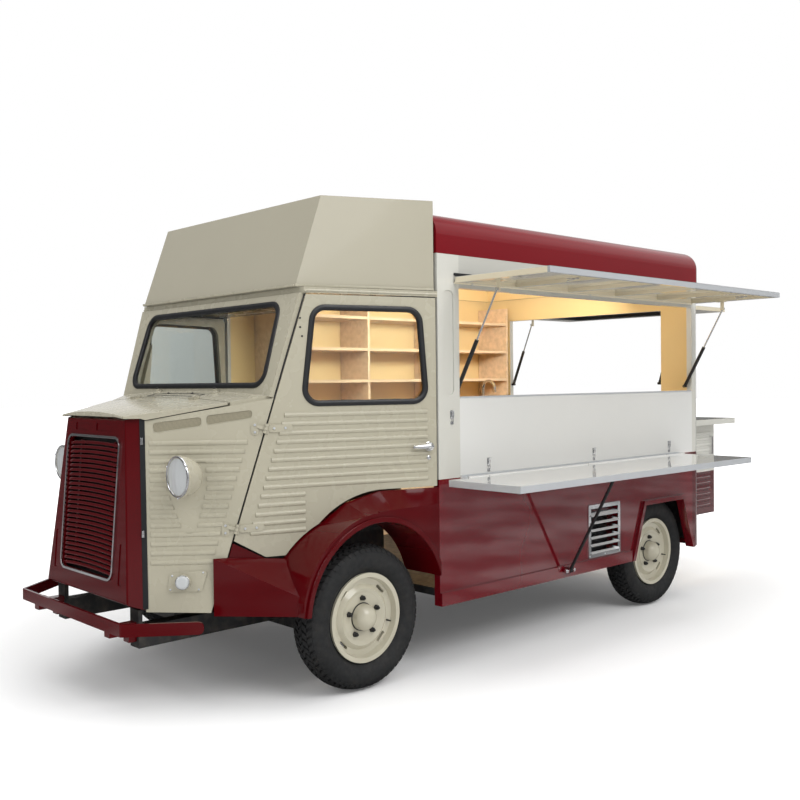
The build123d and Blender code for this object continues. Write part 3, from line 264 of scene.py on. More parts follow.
def matt(name, colour, rough, grain=420.0, strength=0.25, shift=0.15, dust=0.0):
    """Rubber, plastic or bare dark steel: a fine grain and dull patches."""
    m = Maker(name)
    tone = m.mix(m.noise(9.0, 5.0), shaded(colour, 1 - shift), shaded(colour, 1 + 2 * shift))
    if dust:
        tone = m.mix(m.remap(m.noise(22.0, 6.0), 0.0, dust, 0.45, 0.75), tone, srgb(112, 100, 86))
    m.feed("Base Color", tone)
    m.feed("Roughness", m.remap(m.noise(40.0), rough - 0.08, rough + 0.08))
    m.bump(m.noise(grain, 2.0), strength, 0.0008, METAL_EDGE)
    return m.material


def wood(name, colour, stretch):
    """Light veneer: long streaks along one axis with fine pores."""
    m = Maker(name)
    streak = m.noise(5.0, 6.0, m.stretched(stretch))
    fine = m.noise(40.0, 4.0, m.stretched(stretch))
    tone = m.mix(m.remap(streak, 0.0, 1.0), shaded(colour, 0.82), shaded(colour, 1.06))
    tone = m.mix(m.remap(fine, 0.0, 0.35, 0.5, 0.7), tone, shaded(colour, 0.7))
    m.feed("Base Color", tone)
    m.feed("Roughness", m.remap(fine, 0.34, 0.5))
    m.bump(fine, 0.12, 0.0005, METAL_EDGE)
    return m.material


def glass(name, tint, flutes=0.0, red_behind=None, clear=1.0):
    """Glass, fluted and less clear on lamps, where the near-white tint shows as a milky colour: a painted
    reflection that stands in for the lit reflector behind the lens. What lies behind red_behind, a place along the
    truck, is red.
    """
    m = Maker(name)
    tone = m.mix(m.noise(4.0), shaded(tint, 0.97), tint)
    if red_behind is not None:
        tail = m.math("GREATER_THAN", m.axes()["Y"], at(0, red_behind, 0).y)
        tone = m.mix(tail, tone, srgb(190, 16, 18))
    m.feed("Base Color", tone)
    m.set(Transmission_Weight=clear, IOR=1.45)
    m.feed("Roughness", m.remap(m.noise(6.0, 5.0), 0.0, 0.05, 0.45, 0.8))
    if flutes:
        wave = m.add("ShaderNodeTexWave", bands_direction="X")
        wave.inputs["Scale"].default_value = flutes
        m.link(m.place, wave.inputs["Vector"])
        m.bump(wave.outputs["Fac"], 0.35, 0.002)
    return m.material


def mesh_screen(name, wire, hole_shade, pitch):
    """Woven wire: two crossed waves set the wires off from the holes. The holes are not cut but painted in the
    darker colour, painted shade for the gloom behind the wires.
    """
    m = Maker(name)
    height = None
    for direction in ("X", "Z"):
        wave = m.add("ShaderNodeTexWave", bands_direction=direction)
        wave.inputs["Scale"].default_value = math.pi / 10 / pitch
        m.link(m.place, wave.inputs["Vector"])
        height = wave.outputs["Fac"] if height is None else m.math("MAXIMUM", height, wave.outputs["Fac"])
    m.feed("Base Color", m.mix(m.remap(height, 0.0, 1.0, 0.35, 0.75), hole_shade, wire))
    m.feed("Roughness", m.remap(height, 0.7, 0.4))
    m.bump(height, 0.5, 0.001)
    return m.material


BOX_CREAM = srgb(200, 199, 191)
BURGUNDY = srgb(76, 3, 8)
HATCH_UNDER_Z, HATCH_TOP_Z = 2010, 2040
HATCH_EDGE = ((1595, 0, 2000), (1700, 3000, 2060))

cab_cream = paint("cab_cream", srgb(168, 163, 145), rough=0.27, coat=0.12, shine=0.34, shift=0.02)
# The sign box has its own copy of the cab's cream, less glossy and a little darker: the darker colour is painted
# shade on its faces.
sign_cream = paint("sign_cream", srgb(163, 158, 141), rough=0.34, coat=0.1, shine=0.25)
rail_cream = paint("rail_cream", srgb(184, 183, 176), rough=0.16, coat=0.7, lined=INSIDE)
box_cream = paint("box_cream", BOX_CREAM, rough=0.14, coat=0.9, lined=INSIDE)
panel_cream = paint("panel_cream", srgb(216, 216, 213), rough=0.08, coat=1.0, lined=INSIDE, wavy=0.0012)
hatch_cream = paint("hatch_cream", BOX_CREAM, rough=0.16, coat=0.8,
                    below=(HATCH_TOP_Z - 2, srgb(210, 200, 175)), bare=HATCH_EDGE)
post_paint = paint("post_paint", BOX_CREAM, rough=0.14, coat=0.9, below=(1000, BURGUNDY), lined=INSIDE)
rear_door_paint = paint("rear_door_paint", BOX_CREAM, rough=0.16, coat=0.9, below=(800, BURGUNDY))
wheel_cream = paint("wheel_cream", srgb(186, 181, 162), rough=0.24, coat=0.4, dust=0.12)
burgundy = paint("burgundy", BURGUNDY, rough=0.16, coat=0.2, shift=0.08, shine=0.14)
panel_burgundy = paint("panel_burgundy", srgb(98, 6, 18), rough=0.1, coat=1.0, shift=0.08, wavy=0.0022)
roof_burgundy = paint("roof_burgundy", srgb(112, 12, 22), rough=0.1, coat=0.25, shift=0.06, lined=UNDER_ROOF,
                      wavy=0.001, shine=0.2)
chrome = metal("chrome", srgb(225, 226, 228), 0.09)
lamp_silver = metal("lamp_silver", srgb(247, 247, 246), 0.5, bare=0.1)
aluminium = metal("aluminium", ALUMINIUM, 0.36, (1.0, 0.03, 1.0), bare=0.5)
rod_steel = metal("rod_steel", srgb(205, 207, 210), 0.14)
rubber = matt("rubber", srgb(24, 25, 28), 0.42)
tyre_rubber = matt("tyre_rubber", srgb(26, 27, 28), 0.75, 240.0, 0.35, 0.2, 0.06)
under_black = matt("under_black", srgb(30, 30, 31), 0.62, 160.0, 0.3, 0.2, 0.25)
strut_black = matt("strut_black", srgb(20, 20, 22), 0.34, 500.0, 0.1)
black_plastic = matt("black_plastic", srgb(28, 28, 30), 0.5, 600.0, 0.4)
cast_iron = matt("cast_iron", srgb(62, 60, 58), 0.7, 150.0, 0.6)
seat_cover = matt("seat_cover", srgb(58, 44, 38), 0.48, 320.0, 0.5, 0.2)
shelf_wood = wood("shelf_wood", srgb(226, 196, 158), (6.0, 0.5, 6.0))
clear_glass = glass("clear_glass", srgb(226, 231, 228))
# The lamp lenses are milky near white: a painted reflection in place of the bright reflector seen through clear
# glass.
lamp_glass = glass("lamp_glass", srgb(224, 227, 228), 9.0, 2900, clear=0.4)
# Mesh holes painted dark: painted shade in the wing vents, and near black on the radiator core and the plate
# behind the side vent.
vent_mesh = mesh_screen("vent_mesh", srgb(150, 143, 120), srgb(84, 80, 70), 0.0035)
dark_core = mesh_screen("dark_core", srgb(40, 38, 38), srgb(12, 12, 12), 0.006)

SIDES = (("left", 1), ("right", -1))
WHEELS = [f"{end}_{side}" for end in ("front", "rear") for side, sign in SIDES]
DRESS = {
    cab_cream: ["wing_left", "wing_right", "door_left", "door_right", "screen_frame", "bonnet", "cab_roof",
                "headlamps"],
    sign_cream: ["sign_box"],
    rail_cream: ["header_rails"],
    box_cream: ["pillar", "right_wall", "rear_board"],
    panel_cream: ["counter_panel", "counter_shelf"],
    hatch_cream: ["hatch", "rear_flap"],
    post_paint: ["rear_post_left", "rear_post_right"],
    rear_door_paint: ["rear_door_left", "rear_door_right"],
    wheel_cream: [f"rim_{wheel}" for wheel in WHEELS],
    burgundy: ["nose_cowl", "grille", "bumper", "fender_left", "fender_right"],
    panel_burgundy: ["lower_panel_left", "lower_panel_right"],
    roof_burgundy: ["roof"],
    chrome: ["grille_trim", "tap", "side_vent"],
    rod_steel: ["hatch_rods", "flap_rods"],
    strut_black: ["hatch_barrels", "flap_barrels", "shelf_stay"],
    under_black: ["platform", "front_axle", "rear_axle", "knuckle_left", "knuckle_right"],
    cast_iron: ["engine"],
    black_plastic: ["dashboard", "steering_wheel"],
    shelf_wood: ["galley"],
    seat_cover: ["seats"],
    clear_glass: ["screen_glass", "door_glass_left", "door_glass_right", "rear_flap_glass"],
    lamp_glass: ["headlamp_lenses"],
    tyre_rubber: [f"tyre_{wheel}" for wheel in WHEELS],
}
for material, names in DRESS.items():
    for name in names:
        nodes[name].data.materials.clear()
        nodes[name].data.materials.append(material)


# Mesh helpers
def piece(name, verts, faces, body, material, smooth=True, bevel=0.0):
    """A mesh that rides on a body, with its edges rounded by bevel metres."""
    mesh = bpy.data.meshes.new(name)
    mesh.from_pydata([tuple(v) for v in verts], [], faces)
    bm = bmesh.new()
    bm.from_mesh(mesh)
    bmesh.ops.remove_doubles(bm, verts=bm.verts, dist=1e-6)
    bmesh.ops.recalc_face_normals(bm, faces=bm.faces)
    bm.to_mesh(mesh)
    bm.free()
    obj = bpy.data.objects.new(name, mesh)
    bpy.context.scene.collection.objects.link(obj)
    mesh.materials.append(material)
    if smooth:
        mesh.shade_smooth()
        mesh.set_sharp_from_angle(angle=math.radians(38))
    if bevel:
        edge = obj.modifiers.new("edge", "BEVEL")
        edge.width = bevel
        edge.segments = 2
        edge.limit_method = "ANGLE"
    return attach(obj, body)


class Bits:
    """Gathers many small closed shapes into the vertices and faces of one piece."""

    def __init__(self):
        self.verts = []
        self.faces = []

    def loft(self, loops, closed=False, caps=True):
        """Skins loops of equal length one after another. closed joins the last to the first."""
        start, n = len(self.verts), len(loops[0])
        for loop in loops:
            self.verts.extend(loop)
        pairs = len(loops) if closed else len(loops) - 1
        for k in range(pairs):
            a, b = start + k * n, start + (k + 1) % len(loops) * n
            for i in range(n):
                j = (i + 1) % n
                self.faces.append((a + i, a + j, b + j, b + i))
        if caps and not closed:
            self.faces.append(tuple(range(start, start + n)))
            self.faces.append(tuple(range(start + (len(loops) - 1) * n, start + len(loops) * n)))

    def turned(self, centre, axis, profile, sides=12):
        """A turned shape: profile is (distance along the axis, radius) in metres."""
        axis = Vector(axis).normalized()
        u = axis.orthogonal().normalized()
        w = axis.cross(u)
        loops = []
        for along, radius in profile:
            loops.append([centre + axis * along + (u * math.cos(a) + w * math.sin(a)) * radius
                          for a in circle(sides)])
        self.loft(loops)

    def bar(self, a, b, along, wide, thick):
        """A flat bar from a to b: along is its face normal, wide and thick are its section in metres."""
        run = (b - a).normalized()
        out = (along - run * along.dot(run)).normalized()
        across = run.cross(out)
        loops = []
        for p in (a, b):
            loops.append([p + across * (wide / 2 * i) + out * (thick * j)
                          for i, j in ((-1, 0), (1, 0), (1, 1), (-1, 1))])
        self.loft(loops)

    def tube(self, points, radius, sides=10, closed=False):
        """A round rod along points, with a radius in metres."""
        loops = []
        count = len(points)
        up = None
        for i, p in enumerate(points):
            before = points[i - 1] if closed or i else p
            after = points[(i + 1) % count] if closed or i < count - 1 else p
            run = (after - before).normalized()
            if up is None:
                up = run.orthogonal().normalized()
            up = (up - run * up.dot(run)).normalized()
            side = run.cross(up)
            loops.append([p + (up * math.cos(a) + side * math.sin(a)) * radius for a in circle(sides)])
        self.loft(loops, closed=closed)

    def prism(self, flat, corners, radius, low, high, round_off=1.0):
        """A plate with rounded corners on a flat, from rise low to rise high in millimetres."""
        outline = rounded(corners, radius, 5)
        self.loft([[flat(p.x - out.x * inset, p.y - out.y * inset, rise) for p, out in outline]
                   for rise, inset in ((low, 0), (high - round_off, 0), (high, round_off))])

    def ribbon(self, flat, points, wide, low, high):
        """A strip along points on a flat, wide across and from rise low to rise high, in millimetres."""
        loops = []
        for i, point in enumerate(points):
            before, after = Vector(points[max(i - 1, 0)]), Vector(points[min(i + 1, len(points) - 1)])
            run = (after - before).normalized()
            side = Vector((-run.y, run.x)) * (wide / 2)
            a, b = Vector(point) + side, Vector(point) - side
            loops.append([flat(a.x, a.y, low), flat(b.x, b.y, low), flat(b.x, b.y, high), flat(a.x, a.y, high)])
        self.loft(loops)

    def latch(self, flat, u, w, flip=1):
        """A toggle latch: base plate, lever on a pin, loop and keeper, which lies below it for flip 1."""
        def spot(a, b, rise):
            return flat(u + a, w + b * flip, rise)

        def slab(a, b0, b1, low, high):
            self.loft([[spot(-a, b0, r), spot(a, b0, r), spot(a, b1, r), spot(-a, b1, r)] for r in (low, high)])

        slab(12, -22, 22, 0, 2.5)
        slab(11, -52, -36, 0, 3)
        self.loft([[spot(-half, b, r), spot(half, b, r), spot(half, b, r + 3), spot(-half, b, r + 3)]
                   for b, half, r in ((-18, 7, 5), (-6, 8, 8), (8, 7, 8.5), (18, 6, 10), (24, 6, 13))])
        self.tube([spot(-10, -16, 5.5), spot(10, -16, 5.5)], 0.0032, 8)
        self.tube([spot(-6, -14, 7), spot(-6, -44, 5), spot(6, -44, 5), spot(6, -14, 7)], 0.0016, 6)

    def bolt(self, centre, out, radius, height):
        """A six-sided bolt head."""
        self.turned(centre, out, ((-0.001, radius), (height * 0.7, radius), (height, radius * 0.8)), 6)

    def make(self, name, body, material, **options):
        return piece(name, self.verts, self.faces, body, material, **options)


def rounded(corners, radius, steps=8):
    """A convex outline with rounded corners: a list of (point, outward normal) pairs in two dimensions."""
    result = []
    n = len(corners)
    for i in range(n):
        p, q, r = (Vector(corners[(i + k) % n]) for k in (-1, 0, 1))
        a, b = (p - q).normalized(), (r - q).normalized()
        half = a.angle(b) / 2
        centre = q + (a + b).normalized() * (radius / math.sin(half))
        first = Vector((a.y, -a.x))
        if first.dot(a + b) > 0:
            first = -first
        last = Vector((b.y, -b.x))
        if last.dot(a + b) > 0:
            last = -last
        turn = first.angle_signed(last)
        for k in range(steps + 1):
            out = first.copy()
            out.rotate(Matrix.Rotation(-turn * k / steps, 2))
            result.append((centre + out * radius, out))
    return result


def gasket(name, flat, corners, radius, section, body, material):
    """A profile swept round an outline on a flat: section is (outward offset, rise) in millimetres."""
    bits = Bits()
    bits.loft([[flat(p.x + out.x * off, p.y + out.y * off, rise) for off, rise in section]
               for p, out in rounded(corners, radius)], closed=True)
    return bits.make(name, body, material)


# The cab's flats, as in the drawing: the doors taper forward from the box body and are hinged on a line
# that leans with the windscreen post, and the wings run on from there to the nose
SIDE_X = 985
TAPER = math.radians(17)
HINGE_LEAN = 0.3055
HINGE_TOP_Y = -255
DOOR_REAR_Y = 425
DOOR_TOP_Z = 1928
WING_FOOT_Z = 455
HINGE_ZS = (830, 1290)
door_flat = Flat((SIDE_X, DOOR_REAR_Y, 0), (math.sin(TAPER), math.cos(TAPER), 0),
                 (math.cos(TAPER), -math.sin(TAPER), 0))


def hinge_y(z):
    return HINGE_TOP_Y - HINGE_LEAN * (DOOR_TOP_Z - z)


def along_door(y):
    return (y - DOOR_REAR_Y) / math.cos(TAPER)


def hinge_point(z):
    y = hinge_y(z)
    return Vector((SIDE_X - math.tan(TAPER) * (DOOR_REAR_Y - y), y, z))


nose_top = Vector((358, -890, 1350))
wing_foot, wing_hinge = hinge_point(WING_FOOT_Z), hinge_point(HINGE_ZS[1])
wing_out = (wing_foot - wing_hinge).cross(nose_top - wing_hinge).normalized()
if wing_out.x < 0:
    wing_out = -wing_out
wing_flat = Flat(wing_foot, Vector((0, 0, 1)).cross(wing_out), wing_out)
screen_flat = Flat((0, -412, 1491), (1, 0, 0), (0, -1, 0.307))
nose_flat = Flat((0, -1015, 506), (1, 0, 0), Vector((1, 0, 0)).cross(Vector((0, 68, 833))))


# Tyres with a zig-zag block tread, in place of the plain ones
WHEEL_X = 835
WHEELBASE = 2530
TYRE_R = 355
TREAD_DEEP = 9
TREAD_HALF = 70
CROWN_DROP = 17
BLOCKS = 58
ROWS = ((-70, -43), (-40, -15), (-12, 12), (15, 40), (43, 70))


def crown(x):
    return TYRE_R - CROWN_DROP * (x / TREAD_HALF) ** 2


def shoulder(t, inset=0.0):
    """Point (across, radius) on the side wall, from the tread's edge at t 0 to the bead at t 1."""
    angle = math.radians(42.4 - 96.8 * t)
    return Vector((13.4, 286.3)) + Vector((math.cos(angle), math.sin(angle))) * (76.7 - inset)


def tyre(wheel, sign, centre):
    """Side walls and carcass in one ring, with tread blocks set on it and lugs down the shoulders."""
    bits = Bits()

    def point(across, radius, turn):
        return centre + Vector((across * sign, math.cos(turn) * radius, math.sin(turn) * radius)) / 1000

    wall = [shoulder(k / 9, 3.0 if k < 2 else 0.0) for k in range(10)]
    ridged = [(across + (1.2 if k in (4, 6) else 0.0), radius) for k, (across, radius) in enumerate(wall)]
    half = [(58, 204), (58, 222)] + ridged[::-1]
    under_tread = [(x, crown(x) - TREAD_DEEP) for x in (48, 24, 0, -24, -48)]
    outline = half + under_tread + [(-a, r) for a, r in reversed(half)]
    bits.loft([[point(a, r, t) for a, r in outline] for t in circle(84)], closed=True)
    pitch = 2 * math.pi / BLOCKS
    for k in range(BLOCKS):
        for row, (left, right) in enumerate(ROWS):
            lean = (0.42 if row % 2 else -0.42) * pitch
            base = (k + 0.5 * (row % 2)) * pitch
            loops = []
            for drop, gap in ((TREAD_DEEP + 1, 0.06), (0, 0.1)):
                ends = []
                for across, skew in ((left, -lean / 2), (right, lean / 2)):
                    ends.append((across, base + skew + gap * pitch, base + skew + (0.84 - gap) * pitch))
                (a, a0, a1), (b, b0, b1) = ends
                loops.append([point(a, crown(a) - drop, a0), point(b, crown(b) - drop, b0),
                              point(b, crown(b) - drop, b1), point(a, crown(a) - drop, a1)])
            bits.loft(loops)
        for mirror in (1, -1):
            base = (k + (0.0 if mirror > 0 else 0.5)) * pitch
            loops = []
            for t in (0.02, 0.09, 0.17):
                (ox, orad), (ix, irad) = shoulder(t), shoulder(t, 5.0)
                a0, a1 = base + 0.1 * pitch, base + (0.74 - t) * pitch
                loops.append([point(ox * mirror, orad, a0), point(ox * mirror, orad, a1),
                              point(ix * mirror, irad, a1), point(ix * mirror, irad, a0)])
            bits.loft(loops)
    made = bits.make(f"tread_tyre_{wheel}", f"wheel_{wheel}", tyre_rubber)
    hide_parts(f"tyre_{wheel}")


NUT = ((0, 0.0145), (0.003, 0.0145), (0.004, 0.0125), (0.016, 0.0125), (0.019, 0.009))
STUD = ((0.018, 0.006), (0.026, 0.006), (0.027, 0.004))
VALVE = ((-0.004, 0.005), (0.012, 0.0045), (0.013, 0.0036), (0.03, 0.0036), (0.031, 0.002))
NUT_RING_R = 0.093
CAP_RING_R = 0.066


def wheel_trim(wheel, sign, hub):
    """Five nuts on studs, the black ring at the hub cap's foot and the valve."""
    out = Vector((sign, 0, 0))
    nuts, ring, valve = Bits(), Bits(), Bits()

    def spoke(turn):
        return Vector((0, math.cos(turn), math.sin(turn)))

    for turn in circle(5):
        spot = hub + out * 0.0395 + spoke(turn + 0.35) * NUT_RING_R
        nuts.turned(spot, out, NUT, 6)
        nuts.turned(spot, out, STUD, 10)
    ring.tube([hub + out * 0.0375 + spoke(turn) * CAP_RING_R for turn in circle(40)], 0.0035, 8, closed=True)
    valve.turned(hub + out * 0.036 + Vector((0, 0.162, -0.045)), out, VALVE, 10)
    body = f"wheel_{wheel}"
    nuts.make(f"wheel_nuts_{wheel}", body, strut_black, smooth=False)
    ring.make(f"cap_ring_{wheel}", body, rubber)
    valve.make(f"valve_{wheel}", body, black_plastic)


for end, wheel_y in (("front", 0), ("rear", WHEELBASE)):
    for side, sign in SIDES:
        hub = at(sign * WHEEL_X, wheel_y, TYRE_R)
        tyre(f"{end}_{side}", sign, hub)
        wheel_trim(f"{end}_{side}", sign, hub)

# Rubber seals round the glass
SEAL = ((-15, -12), (-15, 3), (-9, 8), (2, 9), (12, 6), (14, 1), (13, -2))
screen_corners = [(-648, 0), (648, 0), (630, 415), (-630, 415)]
door_corners = [(along_door(y), z) for y, z in ((-268, 1402), (366, 1402), (330, 1864), (-216, 1864))]
gasket("screen_seal", screen_flat, screen_corners, 70, SEAL, "chassis", rubber)
for side, sign in SIDES:
    flat = door_flat.on(sign)
    gasket(f"door_seal_{side}", flat, door_corners, 70, SEAL, f"door_{side}", rubber)
FLAP_MIDDLE_Y = 3423
flap_flat = Flat((0, FLAP_MIDDLE_Y, HATCH_TOP_Z), (1, 0, 0), (0, 0, 1))
flap_under = Flat((0, FLAP_MIDDLE_Y, HATCH_UNDER_Z), (-1, 0, 0), (0, 0, -1))
flap_corners = [(-500, -210), (500, -210), (500, 210), (-500, 210)]
gasket("flap_seal_top", flap_flat, flap_corners, 60, SEAL, "rear_flap", rubber)
gasket("flap_seal_under", flap_under, flap_corners, 60, SEAL, "rear_flap", rubber)

# Door gaps and the joint between nose and cheeks
GAP_DEEP = 11
for side, sign in SIDES:
    flat = door_flat.on(sign)
    bits = Bits()
    front = [flat(along_door(hinge_y(z)) + 3, z, -GAP_DEEP) for z in (790, 1200, 1560, 1921)]
    bits.tube(front + [flat(-4, DOOR_TOP_Z, -GAP_DEEP)], 0.0045)
    bits.tube([flat(-3, 1924, -GAP_DEEP), flat(-3, 974, -GAP_DEEP)], 0.0035)
    bits.make(f"door_gap_{side}", "chassis", rubber)
    joint = Bits()
    low, high = at(sign * 452, -934, 480), at(sign * 357, -888, 1345)
    joint.bar(low, high, Vector((sign * 0.8, -0.6, 0)), 0.024, 0.004)
    joint.make(f"nose_joint_{side}", "chassis", rubber)

# Radiator core behind the slats
core = Bits()
core_corners = ((-370, 40), (370, 40), (285, 770), (-285, 770))
core.loft([[nose_flat(u, w, rise) for u, w in core_corners] for rise in (-52, -44)])
core.make("radiator_core", "chassis", dark_core, smooth=False)

# Pressed faces of the slats, one more above the top slat
SLATS = 27
SLAT_PITCH = 23
SLAT_SECTION = ((-1, -9), (-1.5, -4.5), (6, -4), (13, -7), (13, -9))
fins = Bits()
for k in range(SLATS):
    span = {0: 254, SLATS - 1: 256}.get(k, 266)
    loops = []
    for step in range(17):
        u = span * (step / 8 - 1)
        w = 108 + SLAT_PITCH * k + 8 * (1 - (u / span) ** 2)
        loops.append([nose_flat(u, w + a, rise) for a, rise in SLAT_SECTION])
    fins.loft(loops)
fins.make("slat_faces", "chassis", burgundy)

# Fender shoulders, up to the lower hinges below the doors
for side, sign in SIDES:
    flat = door_flat.on(sign)
    shoulder_plate = Bits()
    shoulder_plate.prism(flat, [(along_door(hinge_y(764)) + 6, 764), (along_door(hinge_y(690)) + 6, 688),
                                (along_door(-452), 679)], 3, -14, -4)
    shoulder_plate.make(f"fender_shoulder_{side}", "chassis", burgundy)

# Step boards inside the doors, beside the cab floor
steps = Bits()
for side, sign in SIDES:
    step_flat = Flat((sign * 700, 0, 0), (0, 1, 0), (1, 0, 0))
    steps.prism(step_flat, [(-335, 747), (428, 747), (428, 950), (-335, 950)], 12, 0, 3, 0.5)
steps.make("step_boards", "chassis", under_black)

# Bonnet: turned-down edges that close on the wings, and its front lip
def bonnet_edge(y):
    """Half the bonnet's width and its height at its side, at a place along the truck."""
    share = (y + 968) / 402
    return 322 + 272 * share, 1354 + 60 * share


def bonnet_foot(y):
    """Height of the wing's upper edge, where the bonnet's turned-down edge ends."""
    return 1344.0 if y < -884 else 1337 + 100 * (y + 884) / 477.5


for side, sign in SIDES:
    flange = Bits()
    loops = []
    for k in range(25):
        y = -966 + 394 * k / 24
        half, top = bonnet_edge(y)
        foot = bonnet_foot(y)
        section = ((half - 1, top + 0.5), (half + 1, top - 1), (half + 1, foot), (half - 2, foot),
                   (half - 3, top - 3))
        loops.append([at(sign * x, y, z) for x, z in section])
    flange.loft(loops)
    flange.make(f"bonnet_edge_{side}", "bonnet", cab_cream)
LIP_HALF = 320
LIP_SECTION = ((-966, 1354), (-970, 1353), (-971, 1349), (-968, 1345), (-966, 1346), (-968, 1349))
lip = Bits()
lip.loft([[at(x, y, z + 18 * (1 - (x / LIP_HALF) ** 2)) for y, z in LIP_SECTION]
          for x in [-LIP_HALF + 2 * LIP_HALF * k / 20 for k in range(21)]])
lip.make("bonnet_lip", "bonnet", cab_cream)


# Scuttle: wiper pivots, the outline of the air flap and its two buttons
def scuttle(x, y, rise=0.0):
    """A point on the crowned scuttle between bonnet and windscreen."""
    share = (y + 560) / 148
    half = 600 + 120 * share
    return at(x, y - 0.21 * rise, 1416 + 32 * share + 20 * (1 - (x / half) ** 2) + rise)


PIVOT = ((-0.004, 0.021), (0.005, 0.019), (0.009, 0.012), (0.02, 0.011), (0.021, 0.008))
PIVOT_X, PIVOT_Y = 286, -446
pivots, tips, flap_line = Bits(), Bits(), Bits()
up = Vector((0, -0.21, 0.98))
for x in (-PIVOT_X, PIVOT_X):
    pivots.turned(scuttle(x, PIVOT_Y), up, PIVOT, 18)
    tips.turned(scuttle(x, PIVOT_Y, 20), up, ((-0.002, 0.007), (0.008, 0.0065), (0.009, 0.004)), 12)
pivots.make("wiper_pivots", "chassis", cab_cream)
for x in (-120, 120):
    tips.turned(scuttle(x, -478), up, ((-0.002, 0.007), (0.004, 0.0065), (0.006, 0.003)), 12)
tips.make("pivot_tips", "chassis", strut_black)
corners = [(x, -532) for x in range(-250, 251, 50)] + [(x, -486) for x in range(250, -251, -50)]
flap_line.tube([scuttle(x, y, 0.4) for x, y in corners], 0.002, 6, closed=True)
flap_line.make("air_flap_line", "chassis", rubber)

# Wings and doors: mesh in the vents, bolts on the hinges and the sidelight pads, handles with their locks
HANDLE_U, HANDLE_Z, LOCK_Z = -54, 1173, 1116
ROSE = ((-0.001, 0.024), (0.004, 0.024), (0.006, 0.0205), (0.026, 0.0195), (0.0275, 0.014))
LEVER = ((-152, 4, 20, 26), (-148, 9, 18.5, 29), (-120, 11, 18.5, 31), (-80, 11.5, 18.5, 31.5),
         (-46, 11.5, 18.5, 31), (-38, 10.6, 19, 30), (-34.5, 5, 20, 27))
LEVER_SECTION = ((-0.7, 0), (0.7, 0), (1, 0.35), (0.85, 0.8), (0.4, 1), (-0.4, 1), (-0.85, 0.8), (-1, 0.35))
WING_VENTS = (
    ((-270, 874), (-47, 900), (-47, 858), (-266, 828)),
    ((-24, 906), (190, 930), (186, 892), (-24, 860)),
)
for side, sign in SIDES:
    wing, door = wing_flat.on(sign), door_flat.on(sign)
    mesh, rims, bolts = Bits(), Bits(), Bits()
    for corners in WING_VENTS:
        middle = sum((Vector(c) for c in corners), Vector((0, 0))) / 4
        inner = [middle + (Vector(c) - middle) * 0.985 for c in corners]
        mesh.prism(wing, inner, 12, -3.7, -1.6, 0.4)
        rims.tube([wing(p.x, p.y, 0.3) for p, out in rounded(corners, 14, 5)], 0.0016, 6, closed=True)
    mesh.make(f"vent_mesh_{side}", "chassis", vent_mesh)
    rims.make(f"vent_rims_{side}", "chassis", cab_cream)
    for z in HINGE_ZS:
        u, w = wing_flat.local(hinge_point(z))
        for step in (-17, 17):
            bolts.bolt(wing(u - 48, w + step, 5), wing.normal(), 0.0065, 0.006)
    for u, w in ((-178, 172), (-38, 184), (-58, 108), (-186, 110)):
        bolts.turned(wing(u, w, 5), wing.normal(), ((-0.001, 0.005), (0.002, 0.0045), (0.0032, 0.002)), 10)
    bolts.make(f"wing_bolts_{side}", "chassis", aluminium)
    leaves = Bits()
    for z in HINGE_ZS:
        for step in (40, 96):
            leaves.bolt(door(along_door(hinge_y(z)) + step, z, 7), door.normal(), 0.0065, 0.005)
    leaves.make(f"door_bolts_{side}", f"door_{side}", aluminium)
    handle = Bits()
    handle.turned(door(HANDLE_U, HANDLE_Z, 0), door.normal(), ROSE, 24)
    handle.loft([[door(u, HANDLE_Z + half * a, low + (high - low) * b) for a, b in LEVER_SECTION]
                 for u, half, low, high in LEVER])
    handle.turned(door(HANDLE_U, LOCK_Z, 0), door.normal(), ((-0.001, 0.011), (0.003, 0.011), (0.0045, 0.008)), 18)
    handle.make(f"door_handle_{side}", f"door_{side}", chrome)
plugs = Bits()
for u, z in ((-736, 1810), (-736, 1767), (-727, 1724)):
    plugs.turned(door_flat(u, z, 0), door_flat.normal(), ((-0.001, 0.005), (0.0015, 0.0048), (0.002, 0.003)), 12)
plugs.make("mirror_plugs", "door_left", strut_black)

# Lamps: rims and reflectors of headlamps and sidelights, rubber rings of the tail lamps
LAMP_U, LAMP_W, LAMP_RISE = -138, 619, 132
SIDELIGHT_U, SIDELIGHT_W = -128, 143
TAIL_X, TAIL_Y, TAIL_ZS = 758, 3015.3, (760, 880)
RIM_CLIP = ((-0.004, 0.005), (0.004, 0.005), (0.006, 0.003))


def clock(turn, radius):
    """A reach in metres at an angle in the plane across the truck."""
    return Vector((math.cos(turn), 0, math.sin(turn))) * radius


